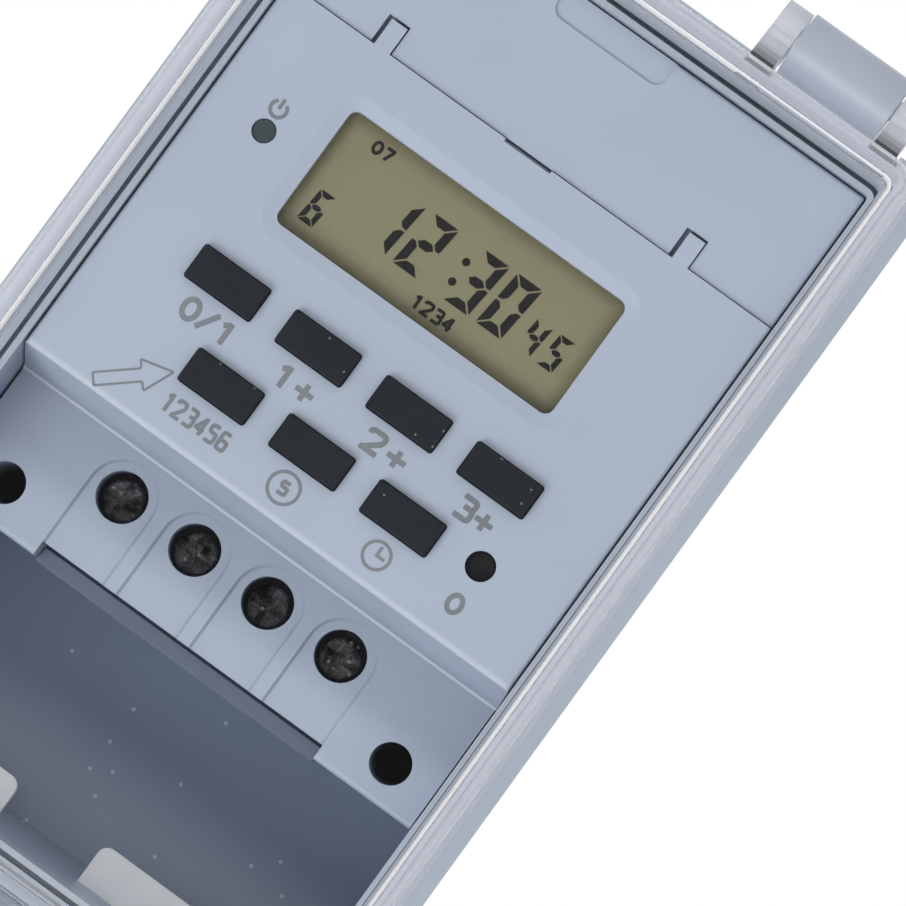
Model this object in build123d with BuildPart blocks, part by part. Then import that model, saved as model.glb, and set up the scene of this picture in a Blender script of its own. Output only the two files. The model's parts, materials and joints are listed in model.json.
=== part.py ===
"""Digital timer switch in a wall case with a hinged clear cover.

Millimetres. +X is to the right, +Z is up and -Y is the front of the case.
The origin is at the middle of the case's bottom edge, halfway through its depth.
"""
import os

from build123d import *

# Case
case_width = 75.0
case_height = 120.0
case_depth = 55.0
body_depth = 41.0
case_corner = 4.8
outer_wall = 2.0
inner_wall = 1.6
back_wall = 3.2
rim_width = 5.7
rim_thick = 3.0
lip_thick = 0.7
lip_height = 1.2
rim_groove_width = 0.7
rim_groove_depth = 2.2
seat_line_width = 0.2
seat_line_depth = 0.45
cavity_corner = 0.5
back_edge_round = 0.8
rib_thick = 2.0
rib_rise = 24.0

# Clear cover
cover_inset = 1.5
cover_wall = 2.0
cover_front_wall = 2.0
cover_corner = 3.9
cover_draft_angle = 3.2
cover_edge_round = 2.0
cover_inner_round = 0.9
cover_seat_gap = 0.1
latch_width = 14.0
latch_reach = 6.0
latch_thick = 1.2
latch_foot_gap = 0.3
latch_slot_gap = 0.3
latch_grip = 6.5
latch_ridge = 0.25
latch_ridge_width = 7.0
latch_side_wall = 0.6

# Cover hinges
hinge_inset = 15.15
knuckle_width = 12.6
knuckle_radius = 3.6
knuckle_back = 6.0
ear_thick = 2.9
ear_radius = 3.3
ear_gap = 0.25
ear_reach = 7.2
ear_notch_depth = 2.8
ear_notch_rise = 0.9
ear_notch_floor = 2.5
hinge_pin_radius = 1.25
pin_chamfer = 0.25
pin_clearance = 0.06

# Rail channel, rail clip and wall screws
rail_height = 35.5
rail_recess = 7.5
rail_rise = 42.4
rail_floor = 2.0
rail_flange_gap = 1.4
hook_reach = 1.7
hook_thick = 2.0
hook_inner = 11.0
hook_length = 13.0
clip_width = 12.4
clip_thick = 1.2
clip_gap = 0.2
clip_head = 4.6
clip_travel = 3.2
clip_foot = 1.6
clip_tooth = 1.7
clip_tooth_thick = 2.0
clip_slot_width = 5.0
clip_slot_height = 1.5
clip_slot_rise = 1.4
clip_groove_depth = 2.2
clip_lug_reach = 1.0
clip_lug_height = 3.0
clip_lug_rises = (9.0, 25.0)
wall_screw_offset = 14.0
wall_screw_rise = 36.0
wall_screw_radius = 2.25
keyhole_head_radius = 4.4
keyhole_slot_radius = 2.25
keyhole_drop = 16.0
keyhole_length = 6.5

# Cable grommets
grommet_offset = 16.6
grommet_width = 22.0
grommet_depth = 20.0
grommet_height = 5.0
grommet_front_drop = 14.5
grommet_neck_margin = 1.7
grommet_neck_gap = 0.15
grommet_round = 1.3
grommet_draft = 1.6
grommet_foot_gap = 0.3
grommet_face_width = 13.8
grommet_face_step = 0.3
cable_hole_radius = 4.5

# Timer module
module_gap = 0.2
module_height = 82.6
module_back_gap = 1.0
module_wall = 1.8
panel_proud = 0.5
panel_thick = 2.0
panel_edge_round = 0.4
front_depth = 16.0
deck_height = 18.1
deck_depth = 10.0
deck_side_inset = 0.1
deck_plate = 2.2
deck_edge_round = 0.6
step_slope = 2.0
step_bead = 0.25
step_bead_height = 0.3
rear_wall = 1.6
rear_floor = 1.5
rear_round = 0.8
shell_screw_inset = 3.3
shell_screw_low = 19.1
shell_screw_top = 3.6
shell_screw_radius = 1.1
shell_screw_depth = 7.0
shell_boss_radius = 2.7
shell_head_radius = 2.1
shell_head_thick = 1.5
shell_slot_length = 2.9
top_tongue_offset = 17.0
top_tongue_width = 8.0
top_tongue_thick = 1.4
top_tongue_reach = 1.1
top_tongue_depth = 7.0
top_tongue_gap = 0.2

# Battery door, its tongues and the cell behind it
door_height = 17.0
door_sink = 0.4
door_thick = 1.8
door_seam = 0.15
door_ledge_gap = 0.2
door_recess_width = 14.3
door_recess_height = 3.4
door_recess_depth = 0.3
door_recess_round = 1.4
tongue_offset = 19.5
tongue_width = 2.0
tongue_height = 3.3
tongue_gap = 0.35
tongue_shift = 0.2
pry_slot_width = 6.0
pry_slot_height = 0.35
pry_slot_depth = 1.2
cell_radius = 5.1
cell_length = 16.0
cell_gap = 0.4
cell_edge_round = 0.6
cell_button_radius = 1.7
contact_thick = 0.4
contact_width = 7.0
pocket_wall = 1.2
pocket_floor_rise = 2.7

# Display
display_side = 13.6
display_height = 14.7
display_rise = 33.25
display_corner = 1.1
window_sink = 0.3
window_thick = 1.0
window_flange = 0.9
window_flange_thick = 0.7
window_gap = 0.1
bezel_margin = 1.6
bezel_depth = 0.3
bezel_taper = 79.0
bezel_corner = 2.6
glass_margin = 1.3
glass_thick = 1.8
glass_gap = 0.15
frame_wall = 1.2
zebra_height = 1.8

# Keys, reset button and indicator
key_width = 8.45
key_height = 4.0
key_pitch = 11.9
key_proud = 1.0
key_gap = 0.15
key_corner = 0.22
key_flange = 0.55
key_flange_thick = 0.7
key_travel = 0.5
key_edge_round = 0.18
key_skirt_gap = 0.1
upper_row_rise = 17.6
row_pitch = 9.3
upper_row_keys = 4
lower_row_keys = 3
reset_offset = 21.5
reset_rise = 9.0
reset_radius = 1.5
reset_gap = 0.17
reset_flange = 0.3
reset_sink = 0.9
reset_travel = 0.6
led_inset = 7.3
led_drop = 0.3
led_radius = 1.25
led_gap = 0.1
led_sink = 0.25
led_collar = 0.3
led_collar_length = 1.6
switch_side = 5.6
switch_plunger_radius = 1.6
switch_plunger_height = 0.7
switch_clearance = 0.05
reset_switch_side = 3.6
reset_plunger_radius = 0.8

# Boards
board_gap = 4.4
board_thick = 1.6
control_board_gap = 2.4
control_board_margin = 2.0
board_notch = 5.2
board_notch_gap = 1.2
board_screw_inset = 2.2
board_screw_low = 12.9
board_screw_high = 42.6
board_boss_radius = 1.9
board_screw_radius = 0.9
board_screw_depth = 3.2
board_screw_head_radius = 1.8
board_screw_head = 1.2
power_board_gap = 0.4
power_board_low = 18.5
power_board_top = 4.1
power_board_standoff = 1.5
power_screw_side = 3.7
power_screw_inset = 3.4
header_pins = 8
header_pitch = 2.54
header_drop = 4.0
header_pin_radius = 0.32
header_bar_height = 2.5

# Terminals
terminal_count = 4
terminal_pitch = 9.74
terminal_rise = 10.66
terminal_hole_radius = 2.9
terminal_screw_drop = 0.35
bay_radius = 4.1
bay_depth = 0.5
bay_taper = 30.0
bay_edge_rise = 1.8
carrier_gap = 0.2
carrier_foot = 0.5
carrier_top = 3.0
carrier_cut = 2.2
carrier_cut_rise = 0.4
carrier_groove_height = 0.9
carrier_groove_depth = 1.1
chamber_width = 6.4
chamber_front = 3.8
chamber_depth = 7.6
chamber_roof = 1.2
cage_gap = 0.2
cage_wall = 1.0
cage_height = 6.4
bar_width = 3.6
bar_thick = 0.8
bar_foot = 6.0
bar_rise = 22.5
bar_gap = 0.15
terminal_head_radius = 2.5
terminal_head_thick = 1.9
terminal_head_sink = 3.5
terminal_head_round = 0.45
terminal_shaft_radius = 1.7
terminal_shaft_length = 5.2
thread_clearance = 0.05
slot_width = 0.75
slot_depth = 0.8

# Module fixing screws
fixing_inset = 5.8
fixing_rise = 4.5
fixing_hole_radius = 2.35
fixing_tube_wall = 1.2
fixing_seat_depth = 14.0
fixing_head_radius = 2.1
fixing_head_thick = 1.8
fixing_shaft_radius = 1.45
fixing_shaft_length = 12.0
boss_radius = 3.5
boss_gap = 0.2
standoff_drop = 10.0

# Power parts on the rear board
relay_width = 19.0
relay_height = 15.5
relay_depth = 15.2
relay_round = 0.9
film_cap_width = 18.0
film_cap_height = 8.5
film_cap_depth = 13.5
bulk_cap_radius = 5.0
bulk_cap_depth = 12.5
bulk_cap_round = 0.8
varistor_width = 9.0
varistor_height = 4.2
varistor_depth = 10.5
varistor_round = 3.0
varistor_shift = 4.75
diode_radius = 1.35
diode_length = 5.0
diode_start = 2.7
diode_pitch = 3.6
diode_count = 4

# Planes and places that follow from the sizes above
front_y = -case_depth / 2
back_y = case_depth / 2
rim_y = back_y - body_depth
cover_width_out = case_width - 2 * cover_inset
cover_tall_out = case_height - 2 * cover_inset
floor_y = back_y - back_wall
rail_floor_y = back_y - rail_recess
hump_y = rail_floor_y - rail_floor
panel_y = rim_y - panel_proud
panel_back_y = panel_y + panel_thick
deck_y = panel_y + deck_depth
deck_back_y = deck_y + deck_plate
parting_y = panel_y + front_depth
module_back_y = hump_y - module_back_gap
rear_inner_y = module_back_y - rear_floor
door_y = panel_y + door_sink
ledge_y = door_y + door_thick + door_ledge_gap
board_y = panel_back_y + board_gap
board_back_y = board_y + board_thick
power_back_y = rear_inner_y - power_board_standoff
power_front_y = power_back_y - board_thick

cavity_width = case_width - 2 * rim_width
cavity_height = case_height - 2 * rim_width
cavity_bottom = rim_width
module_half = cavity_width / 2 - module_gap
module_corner = cavity_corner - module_gap
module_top = case_height - rim_width - module_gap
module_bottom = module_top - module_height
rear_half = module_half - deck_side_inset
panel_bottom = module_bottom + deck_height
door_bottom = module_top - door_height
panel_top = door_bottom - door_seam
display_z = panel_bottom + display_rise
upper_row_z = panel_bottom + upper_row_rise
lower_row_z = upper_row_z - row_pitch
reset_z = panel_bottom + reset_rise
terminal_z = module_bottom + terminal_rise
screw_z = terminal_z - terminal_screw_drop
fixing_z = module_bottom + fixing_rise
rail_top = rail_rise + rail_height
hinge_z = case_height + knuckle_radius
half_terminals = (terminal_count - 1) / 2
terminal_xs = [(i - half_terminals) * terminal_pitch for i in range(terminal_count)]
bays_half = half_terminals * terminal_pitch + bay_radius
shell_screw_x = module_half - shell_screw_inset
hinge_x = case_width / 2 - hinge_inset
fixing_x = module_half - fixing_inset
led_x = -module_half + led_inset
led_z = display_z - led_drop
display_width = 2 * (module_half - display_side)
control_half = rear_half - module_wall - control_board_gap
board_screw_x = control_half - board_screw_inset
power_half = shell_screw_x - shell_boss_radius - power_board_gap
power_screw_x = power_half - power_screw_side
shell_screw_zs = (module_bottom + shell_screw_low, module_top - shell_screw_top)


def level(y):
    """A plane across the case at depth y, facing the front: its x is X and its y is Z."""
    return Plane.XZ.offset(-y)


def slab(x0, x1, y0, y1, z0, z1, mode=Mode.ADD):
    """A box between two corners."""
    with Locations(((x0 + x1) / 2, (y0 + y1) / 2, (z0 + z1) / 2)):
        Box(x1 - x0, y1 - y0, z1 - z0, mode=mode)


def stud(x, z, radius, y0, y1, mode=Mode.ADD):
    """A round bar along the depth, from y0 back to y1."""
    with Locations(Location((x, (y0 + y1) / 2, z), (90, 0, 0))):
        Cylinder(radius, y1 - y0, mode=mode)


def cross_bar(x0, x1, y, z, radius, mode=Mode.ADD):
    """A round bar across the width, from x0 to x1."""
    with Locations(Location(((x0 + x1) / 2, y, z), (0, 90, 0))):
        Cylinder(radius, x1 - x0, mode=mode)


def save(piece, name):
    """Name a finished piece and write it."""
    piece.part.label = name
    export_step(piece.part, f"parts/{name}.step")


def knuckle_span(side):
    """Where the hinge on one side has its knuckle, as two X values."""
    middle = side * hinge_x
    return middle - knuckle_width / 2, middle + knuckle_width / 2


def ear_spans(side):
    """Where the two ears on one side stand, as pairs of X values."""
    low, high = knuckle_span(side)
    left = (low - ear_gap - ear_thick, low - ear_gap)
    right = (high + ear_gap, high + ear_gap + ear_thick)
    return left, right


os.makedirs("parts", exist_ok=True)

# Base case: a tub with a double wall, a rim for the cover and a rail channel at the back
grommet_front_y = rim_y + grommet_front_drop
grommet_middle_y = grommet_front_y + grommet_depth / 2
neck_width = grommet_width - 2 * grommet_neck_margin
neck_depth = grommet_depth - 2 * grommet_neck_margin
clip_groove_half = clip_width / 2 + clip_gap
clip_plate_y = back_y - clip_groove_depth + clip_gap
clip_back_y = clip_plate_y + clip_thick
clip_tooth_y = rail_floor_y + rail_flange_gap
clip_pocket_y = clip_tooth_y - clip_gap
clip_pocket_bottom = rail_rise - clip_head - clip_travel - clip_gap
latch_top = cover_inset + latch_slot_gap
with BuildPart() as base_case:
    with BuildSketch(level(back_y)):
        with Locations((0, case_height / 2)):
            RectangleRounded(case_width, case_height, case_corner)
    extrude(amount=back_y - rim_y)
    fillet(base_case.edges().group_by(Axis.Y)[-1], back_edge_round)
    # Cavity for the module and the wiring bay
    with BuildSketch(level(rim_y)):
        with Locations((0, case_height / 2)):
            RectangleRounded(cavity_width, cavity_height, cavity_corner)
    extrude(amount=rim_y - floor_y, mode=Mode.SUBTRACT)
    # Hollow between the two walls, open at the back and crossed by ribs
    with BuildSketch(level(back_y)):
        with Locations((0, case_height / 2)):
            RectangleRounded(
                case_width - 2 * outer_wall, case_height - 2 * outer_wall, case_corner - outer_wall
            )
            RectangleRounded(
                cavity_width + 2 * inner_wall,
                cavity_height + 2 * inner_wall,
                cavity_corner + inner_wall,
                mode=Mode.SUBTRACT,
            )
        for z in (rib_rise, case_height - rib_rise):
            with Locations((0, z)):
                Rectangle(case_width, rib_thick, mode=Mode.SUBTRACT)
        for x in (-hinge_x, 0, hinge_x):
            with Locations((x, case_height)):
                Rectangle(rib_thick, 2 * rim_width, mode=Mode.SUBTRACT)
        with Locations((0, 0)):
            Rectangle(latch_width + 2 * latch_side_wall, 2 * rim_width, mode=Mode.SUBTRACT)
        for side in (-1, 1):
            with Locations((side * grommet_offset, 0)):
                Rectangle(grommet_width, 2 * rim_width, mode=Mode.SUBTRACT)
    extrude(amount=back_y - rim_y - rim_thick, mode=Mode.SUBTRACT)
    # Locating lip round the cavity, with a groove outside it
    with BuildSketch(level(rim_y)):
        with Locations((0, case_height / 2)):
            RectangleRounded(
                cavity_width + 2 * lip_thick, cavity_height + 2 * lip_thick, cavity_corner + lip_thick
            )
            RectangleRounded(cavity_width, cavity_height, cavity_corner, mode=Mode.SUBTRACT)
    extrude(amount=lip_height)
    groove_in = lip_thick
    groove_out = lip_thick + rim_groove_width
    with BuildSketch(level(rim_y)):
        with Locations((0, case_height / 2)):
            RectangleRounded(
                cavity_width + 2 * groove_out, cavity_height + 2 * groove_out, cavity_corner + groove_out
            )
            RectangleRounded(
                cavity_width + 2 * groove_in,
                cavity_height + 2 * groove_in,
                cavity_corner + groove_in,
                mode=Mode.SUBTRACT,
            )
    extrude(amount=-rim_groove_depth, mode=Mode.SUBTRACT)
    # Fine line in the rim under the outer edge of the cover's foot
    with BuildSketch(level(rim_y)):
        with Locations((0, case_height / 2)):
            RectangleRounded(cover_width_out, cover_tall_out, cover_corner)
            RectangleRounded(
                cover_width_out - 2 * seat_line_width,
                cover_tall_out - 2 * seat_line_width,
                cover_corner - seat_line_width,
                mode=Mode.SUBTRACT,
            )
    extrude(amount=-seat_line_depth, mode=Mode.SUBTRACT)
    # Rail channel across the back, with the tub's floor stepped in over it
    slab(
        -cavity_width / 2 - inner_wall,
        cavity_width / 2 + inner_wall,
        hump_y,
        floor_y,
        rail_rise - rail_floor,
        rail_top + rail_floor,
    )
    slab(
        -clip_groove_half - rail_floor,
        clip_groove_half + rail_floor,
        clip_pocket_y - rail_floor,
        floor_y,
        clip_pocket_bottom - rail_floor,
        rail_rise,
    )
    slab(-case_width, case_width, rail_floor_y, back_y + case_depth, rail_rise, rail_top, mode=Mode.SUBTRACT)
    # Fixed hooks over the rail's upper flange
    for side in (-1, 1):
        hook_x = side * (hook_inner + hook_length / 2)
        slab(
            hook_x - hook_length / 2,
            hook_x + hook_length / 2,
            clip_tooth_y,
            clip_tooth_y + hook_thick,
            rail_top - hook_reach,
            rail_top + rail_floor,
        )
    # Groove and pocket for the sliding rail clip, with lugs that keep the clip in
    slab(
        -clip_groove_half,
        clip_groove_half,
        back_y - clip_groove_depth,
        back_y + case_depth,
        -case_height,
        rail_rise + hook_reach,
        mode=Mode.SUBTRACT,
    )
    slab(
        -clip_groove_half,
        clip_groove_half,
        clip_pocket_y,
        back_y,
        clip_pocket_bottom,
        rail_rise + hook_reach,
        mode=Mode.SUBTRACT,
    )
    for z in clip_lug_rises:
        for side in (-1, 1):
            lug_x = side * (clip_groove_half - clip_lug_reach / 2)
            slab(
                lug_x - clip_lug_reach / 2,
                lug_x + clip_lug_reach / 2,
                clip_back_y + clip_gap,
                back_y,
                z,
                z + clip_lug_height,
            )
    # Bosses that carry the module: the lower two take its screws
    for side in (-1, 1):
        stud(side * fixing_x, fixing_z, boss_radius, module_back_y + boss_gap, floor_y)
        stud(side * fixing_x, module_top - standoff_drop, boss_radius, module_back_y + boss_gap, floor_y)
        stud(
            side * fixing_x,
            fixing_z,
            fixing_shaft_radius + thread_clearance,
            module_back_y,
            floor_y,
            mode=Mode.SUBTRACT,
        )
    # Holes for two wall screws, and a keyhole to hang the case by
    for side in (-1, 1):
        stud(
            side * wall_screw_offset,
            wall_screw_rise,
            wall_screw_radius,
            floor_y - back_wall,
            back_y + back_wall,
            mode=Mode.SUBTRACT,
        )
    keyhole_z = case_height - keyhole_drop
    with BuildSketch(level(back_y)):
        with Locations((0, keyhole_z)):
            Circle(keyhole_head_radius)
        with Locations((0, keyhole_z + keyhole_length / 2)):
            Rectangle(2 * keyhole_slot_radius, keyhole_length)
        with Locations((0, keyhole_z + keyhole_length)):
            Circle(keyhole_slot_radius)
    extrude(amount=back_wall, mode=Mode.SUBTRACT)
    # Slots in the inner top wall for the module's tongues
    for side in (-1, 1):
        tongue_x = side * top_tongue_offset
        slab(
            tongue_x - top_tongue_width / 2 - top_tongue_gap,
            tongue_x + top_tongue_width / 2 + top_tongue_gap,
            parting_y + top_tongue_depth - top_tongue_gap,
            parting_y + top_tongue_depth + top_tongue_thick + top_tongue_gap,
            case_height - rim_width - module_wall,
            case_height - rim_width + inner_wall,
            mode=Mode.SUBTRACT,
        )
    # Cable openings through the bottom
    for side in (-1, 1):
        with BuildSketch(Plane.XY):
            with Locations((side * grommet_offset, grommet_middle_y)):
                RectangleRounded(
                    neck_width + 2 * grommet_neck_gap, neck_depth + 2 * grommet_neck_gap, grommet_neck_margin
                )
        extrude(amount=rim_width, mode=Mode.SUBTRACT)
    # Recess for the cover's latch tongue, with a ridge that the tongue snaps over
    slab(
        -latch_width / 2 - latch_slot_gap,
        latch_width / 2 + latch_slot_gap,
        rim_y - lip_height,
        rim_y + latch_reach + latch_slot_gap,
        -latch_top,
        latch_top,
        mode=Mode.SUBTRACT,
    )
    cross_bar(
        -latch_ridge_width / 2,
        latch_ridge_width / 2,
        rim_y + latch_reach - latch_thick,
        latch_top,
        latch_ridge,
    )
    # Hinge knuckles on the top edge, and a notch below each ear of the cover
    for side in (-1, 1):
        low, high = knuckle_span(side)
        with BuildSketch(Plane.YZ.offset(low)):
            with Locations((rim_y, hinge_z)):
                Circle(knuckle_radius)
            with Locations((rim_y + knuckle_back / 2, hinge_z - knuckle_radius)):
                Rectangle(knuckle_back, 2 * knuckle_radius)
        extrude(amount=high - low)
        for span in ear_spans(side):
            slab(
                span[0] - ear_gap,
                span[1] + ear_gap,
                rim_y - lip_height,
                rim_y + ear_notch_floor,
                case_height - ear_notch_depth,
                case_height + ear_notch_rise,
                mode=Mode.SUBTRACT,
            )
        cross_bar(low - ear_thick, high + ear_thick, rim_y, hinge_z, hinge_pin_radius, mode=Mode.SUBTRACT)
save(base_case, "base_case")

# Hinge pins
for side, name in ((-1, "hinge_pin_left"), (1, "hinge_pin_right")):
    low, high = knuckle_span(side)
    with BuildPart() as hinge_pin:
        cross_bar(
            low - ear_gap - ear_thick,
            high + ear_gap + ear_thick,
            rim_y,
            hinge_z,
            hinge_pin_radius,
        )
        chamfer(hinge_pin.edges().filter_by(GeomType.CIRCLE), pin_chamfer)
    save(hinge_pin, name)

# Clear cover: a tapered shell with two pairs of hinge ears and a latch tongue
cover_foot_y = rim_y - cover_seat_gap
cover_height_out = cover_foot_y - front_y
with BuildPart() as cover_hollow:
    with BuildSketch(level(cover_foot_y)):
        with Locations((0, case_height / 2)):
            RectangleRounded(
                cover_width_out - 2 * cover_wall,
                cover_tall_out - 2 * cover_wall,
                cover_corner - cover_wall,
            )
    extrude(amount=cover_height_out - cover_front_wall, taper=cover_draft_angle)
    fillet(cover_hollow.edges().group_by(Axis.Y)[0], cover_inner_round)
with BuildPart() as clear_cover:
    with BuildSketch(level(cover_foot_y)):
        with Locations((0, case_height / 2)):
            RectangleRounded(cover_width_out, cover_tall_out, cover_corner)
    extrude(amount=cover_height_out, taper=cover_draft_angle)
    fillet(clear_cover.edges().group_by(Axis.Y)[0], cover_edge_round)
    add(cover_hollow.part, mode=Mode.SUBTRACT)
    for side in (-1, 1):
        for span in ear_spans(side):
            with BuildSketch(Plane.YZ.offset(span[0])):
                with Locations((rim_y, hinge_z)):
                    Circle(ear_radius)
                with BuildLine():
                    Polyline(
                        (cover_foot_y, case_height - cover_inset - cover_wall / 2),
                        (cover_foot_y, hinge_z),
                        (rim_y - ear_radius, hinge_z),
                        (rim_y - ear_reach, case_height - cover_inset - cover_wall / 2),
                        close=True,
                    )
                make_face()
            extrude(amount=ear_thick)
            cross_bar(
                span[0], span[1], rim_y, hinge_z, hinge_pin_radius + pin_clearance, mode=Mode.SUBTRACT
            )
    slab(
        -latch_width / 2,
        latch_width / 2,
        rim_y - latch_grip,
        rim_y + latch_reach,
        latch_foot_gap,
        latch_foot_gap + latch_thick,
    )
    slab(
        -latch_width / 2,
        latch_width / 2,
        rim_y - latch_grip,
        cover_foot_y,
        latch_foot_gap,
        cover_inset + cover_wall / 2,
    )
save(clear_cover, "clear_cover")

# Rail clip: a flat slide with a tooth that grips the rail's lower flange
clip_top = rail_rise - clip_gap
with BuildPart() as rail_clip:
    slab(-clip_width / 2, clip_width / 2, clip_plate_y, clip_back_y, clip_foot, clip_top)
    slab(-clip_width / 2, clip_width / 2, clip_tooth_y, clip_back_y, clip_top - clip_head, clip_top)
    slab(
        -clip_width / 2,
        clip_width / 2,
        clip_tooth_y,
        clip_tooth_y + clip_tooth_thick,
        clip_top - clip_head,
        rail_rise + clip_tooth,
    )
    tooth_edge = rail_clip.edges().filter_by(Axis.X).group_by(Axis.Z)[-1].sort_by(Axis.Y)[-1]
    chamfer(tooth_edge, clip_tooth - 2 * clip_gap)
    slab(
        -clip_slot_width / 2,
        clip_slot_width / 2,
        clip_plate_y,
        clip_back_y,
        clip_foot + clip_slot_rise,
        clip_foot + clip_slot_rise + clip_slot_height,
        mode=Mode.SUBTRACT,
    )
save(rail_clip, "rail_clip")

# Cable grommets: soft blocks that narrow towards the back, on the bottom wall, each with a neck through it
grommet_top = cavity_bottom + grommet_height
for side, name in ((-1, "cable_grommet_left"), (1, "cable_grommet_right")):
    middle = side * grommet_offset
    with BuildPart() as grommet:
        for y, draft in ((grommet_front_y, 0), (grommet_front_y + grommet_depth, grommet_draft)):
            with BuildSketch(level(y)):
                with Locations((middle, cavity_bottom)):
                    RectangleRounded(
                        grommet_width - 2 * draft, 2 * (grommet_height - draft), grommet_round
                    )
        loft()
        slab(
            middle - grommet_width / 2,
            middle + grommet_width / 2,
            grommet_front_y,
            grommet_front_y + grommet_depth,
            cavity_bottom - grommet_height,
            cavity_bottom,
            mode=Mode.SUBTRACT,
        )
        slab(
            middle - grommet_face_width / 2,
            middle + grommet_face_width / 2,
            grommet_front_y - grommet_face_step,
            grommet_front_y,
            cavity_bottom,
            grommet_top,
        )
        with BuildSketch(Plane.XY.offset(grommet_foot_gap)):
            with Locations((middle, grommet_middle_y)):
                RectangleRounded(neck_width, neck_depth, grommet_neck_margin - grommet_neck_gap)
        extrude(amount=cavity_bottom - grommet_foot_gap)
        with Locations((middle, grommet_middle_y, cavity_bottom)):
            Cylinder(cable_hole_radius, 2 * (grommet_height + rim_width), mode=Mode.SUBTRACT)
    save(grommet, name)

# Module front: display panel, stepped-down terminal deck and battery pocket in one moulding
pocket_half = cell_length / 2 + 2 * cell_gap + 2 * contact_thick
pocket_tall = 2 * (cell_radius + cell_gap)
pocket_bottom = door_bottom + pocket_floor_rise
cell_z = pocket_bottom + pocket_tall / 2
cell_y = ledge_y + cell_gap + cell_radius
pocket_back_y = cell_y + cell_radius + cell_gap
key_places = []
for i in range(upper_row_keys):
    key_places.append(((i - (upper_row_keys - 1) / 2) * key_pitch, upper_row_z))
for i in range(lower_row_keys):
    key_places.append(((i - (lower_row_keys - 1) / 2) * key_pitch, lower_row_z))
board_screw_places = []
for z in (board_screw_low, board_screw_high):
    for side in (-1, 1):
        board_screw_places.append((side * board_screw_x, panel_bottom + z))
fixing_seat_y = deck_y + fixing_seat_depth
with BuildPart() as module_front:
    with BuildSketch(Plane.YZ.offset(-module_half)):
        with BuildLine():
            Polyline(
                (panel_y, panel_top),
                (panel_y, panel_bottom),
                (deck_y - step_bead, panel_bottom - step_slope),
                (deck_y - step_bead, panel_bottom - step_slope - step_bead_height),
                (deck_y, panel_bottom - step_slope - step_bead_height),
                (deck_y, module_bottom),
                (parting_y, module_bottom),
                (parting_y, module_top),
                (ledge_y, module_top),
                (ledge_y, panel_top),
                close=True,
            )
        make_face()
    extrude(amount=2 * module_half)
    # The deck is a little narrower than the panel
    for side in (-1, 1):
        trim_x = side * (rear_half + deck_side_inset)
        slab(
            trim_x - deck_side_inset,
            trim_x + deck_side_inset,
            deck_y - deck_depth,
            parting_y,
            module_bottom,
            panel_bottom - step_slope - step_bead_height,
            mode=Mode.SUBTRACT,
        )
    fillet(module_front.edges().filter_by(Axis.Y).group_by(Axis.Z)[-1], module_corner)
    front_edges = module_front.edges().filter_by(Axis.Z).group_by(Axis.Y)[0]
    foot_edge = module_front.edges().filter_by(Axis.X).group_by(Axis.Y)[0].sort_by(Axis.Z)[0]
    fillet([*front_edges, foot_edge], panel_edge_round)
    lower_edge = module_front.edges().filter_by(Axis.X).group_by(Axis.Z)[0].sort_by(Axis.Y)[0]
    fillet(lower_edge, deck_edge_round)
    # Inside hollow
    with BuildSketch(Plane.YZ.offset(-rear_half + module_wall)):
        with BuildLine():
            Polyline(
                (panel_back_y, panel_top - module_wall),
                (panel_back_y, panel_bottom + module_wall),
                (deck_back_y, panel_bottom - step_slope + module_wall),
                (deck_back_y, module_bottom + module_wall),
                (parting_y, module_bottom + module_wall),
                (parting_y, module_top - module_wall),
                (ledge_y + module_wall, module_top - module_wall),
                (ledge_y + module_wall, panel_top - module_wall),
                close=True,
            )
        make_face()
    extrude(amount=2 * (rear_half - module_wall), mode=Mode.SUBTRACT)
    # Battery pocket behind the door
    slab(
        -pocket_half - pocket_wall,
        pocket_half + pocket_wall,
        ledge_y,
        pocket_back_y + pocket_wall,
        pocket_bottom - pocket_wall,
        module_top - module_wall,
    )
    slab(
        -pocket_half,
        pocket_half,
        ledge_y - door_thick,
        pocket_back_y,
        pocket_bottom,
        pocket_bottom + pocket_tall,
        mode=Mode.SUBTRACT,
    )
    # Tongues that stand in the door's notches, nearer the right side of each, and the pry slot below the door
    for side in (-1, 1):
        slab(
            side * tongue_offset + tongue_shift - tongue_width / 2,
            side * tongue_offset + tongue_shift + tongue_width / 2,
            panel_y,
            ledge_y,
            panel_top - module_wall,
            panel_top + tongue_height,
        )
    slab(
        -pry_slot_width / 2,
        pry_slot_width / 2,
        panel_y,
        panel_y + pry_slot_depth,
        panel_top - pry_slot_height,
        panel_top,
        mode=Mode.SUBTRACT,
    )
    # Display opening with a shallow sloping surround and a seat for the window
    with BuildSketch(level(panel_y)):
        with Locations((0, display_z)):
            RectangleRounded(
                display_width + 2 * bezel_margin, display_height + 2 * bezel_margin, bezel_corner
            )
    extrude(amount=-bezel_depth, taper=bezel_taper, mode=Mode.SUBTRACT)
    with BuildSketch(level(panel_back_y)):
        with Locations((0, display_z)):
            RectangleRounded(display_width, display_height, display_corner)
    extrude(amount=panel_thick, mode=Mode.SUBTRACT)
    window_back_y = panel_y + window_sink + window_thick + window_flange_thick
    seat_y = window_back_y - window_flange_thick
    with BuildSketch(level(panel_back_y)):
        with Locations((0, display_z)):
            RectangleRounded(
                display_width + 2 * (window_flange + window_gap),
                display_height + 2 * (window_flange + window_gap),
                display_corner + window_flange,
            )
    extrude(amount=panel_back_y - seat_y, mode=Mode.SUBTRACT)
    # Openings for the keys, the reset button and the indicator
    with BuildSketch(level(panel_back_y)):
        with Locations(*key_places):
            RectangleRounded(key_width + 2 * key_gap, key_height + 2 * key_gap, key_corner + key_gap)
        with Locations((reset_offset, reset_z)):
            Circle(reset_radius + reset_gap)
        with Locations((led_x, led_z)):
            Circle(led_radius + led_gap)
    extrude(amount=panel_thick, mode=Mode.SUBTRACT)
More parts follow.
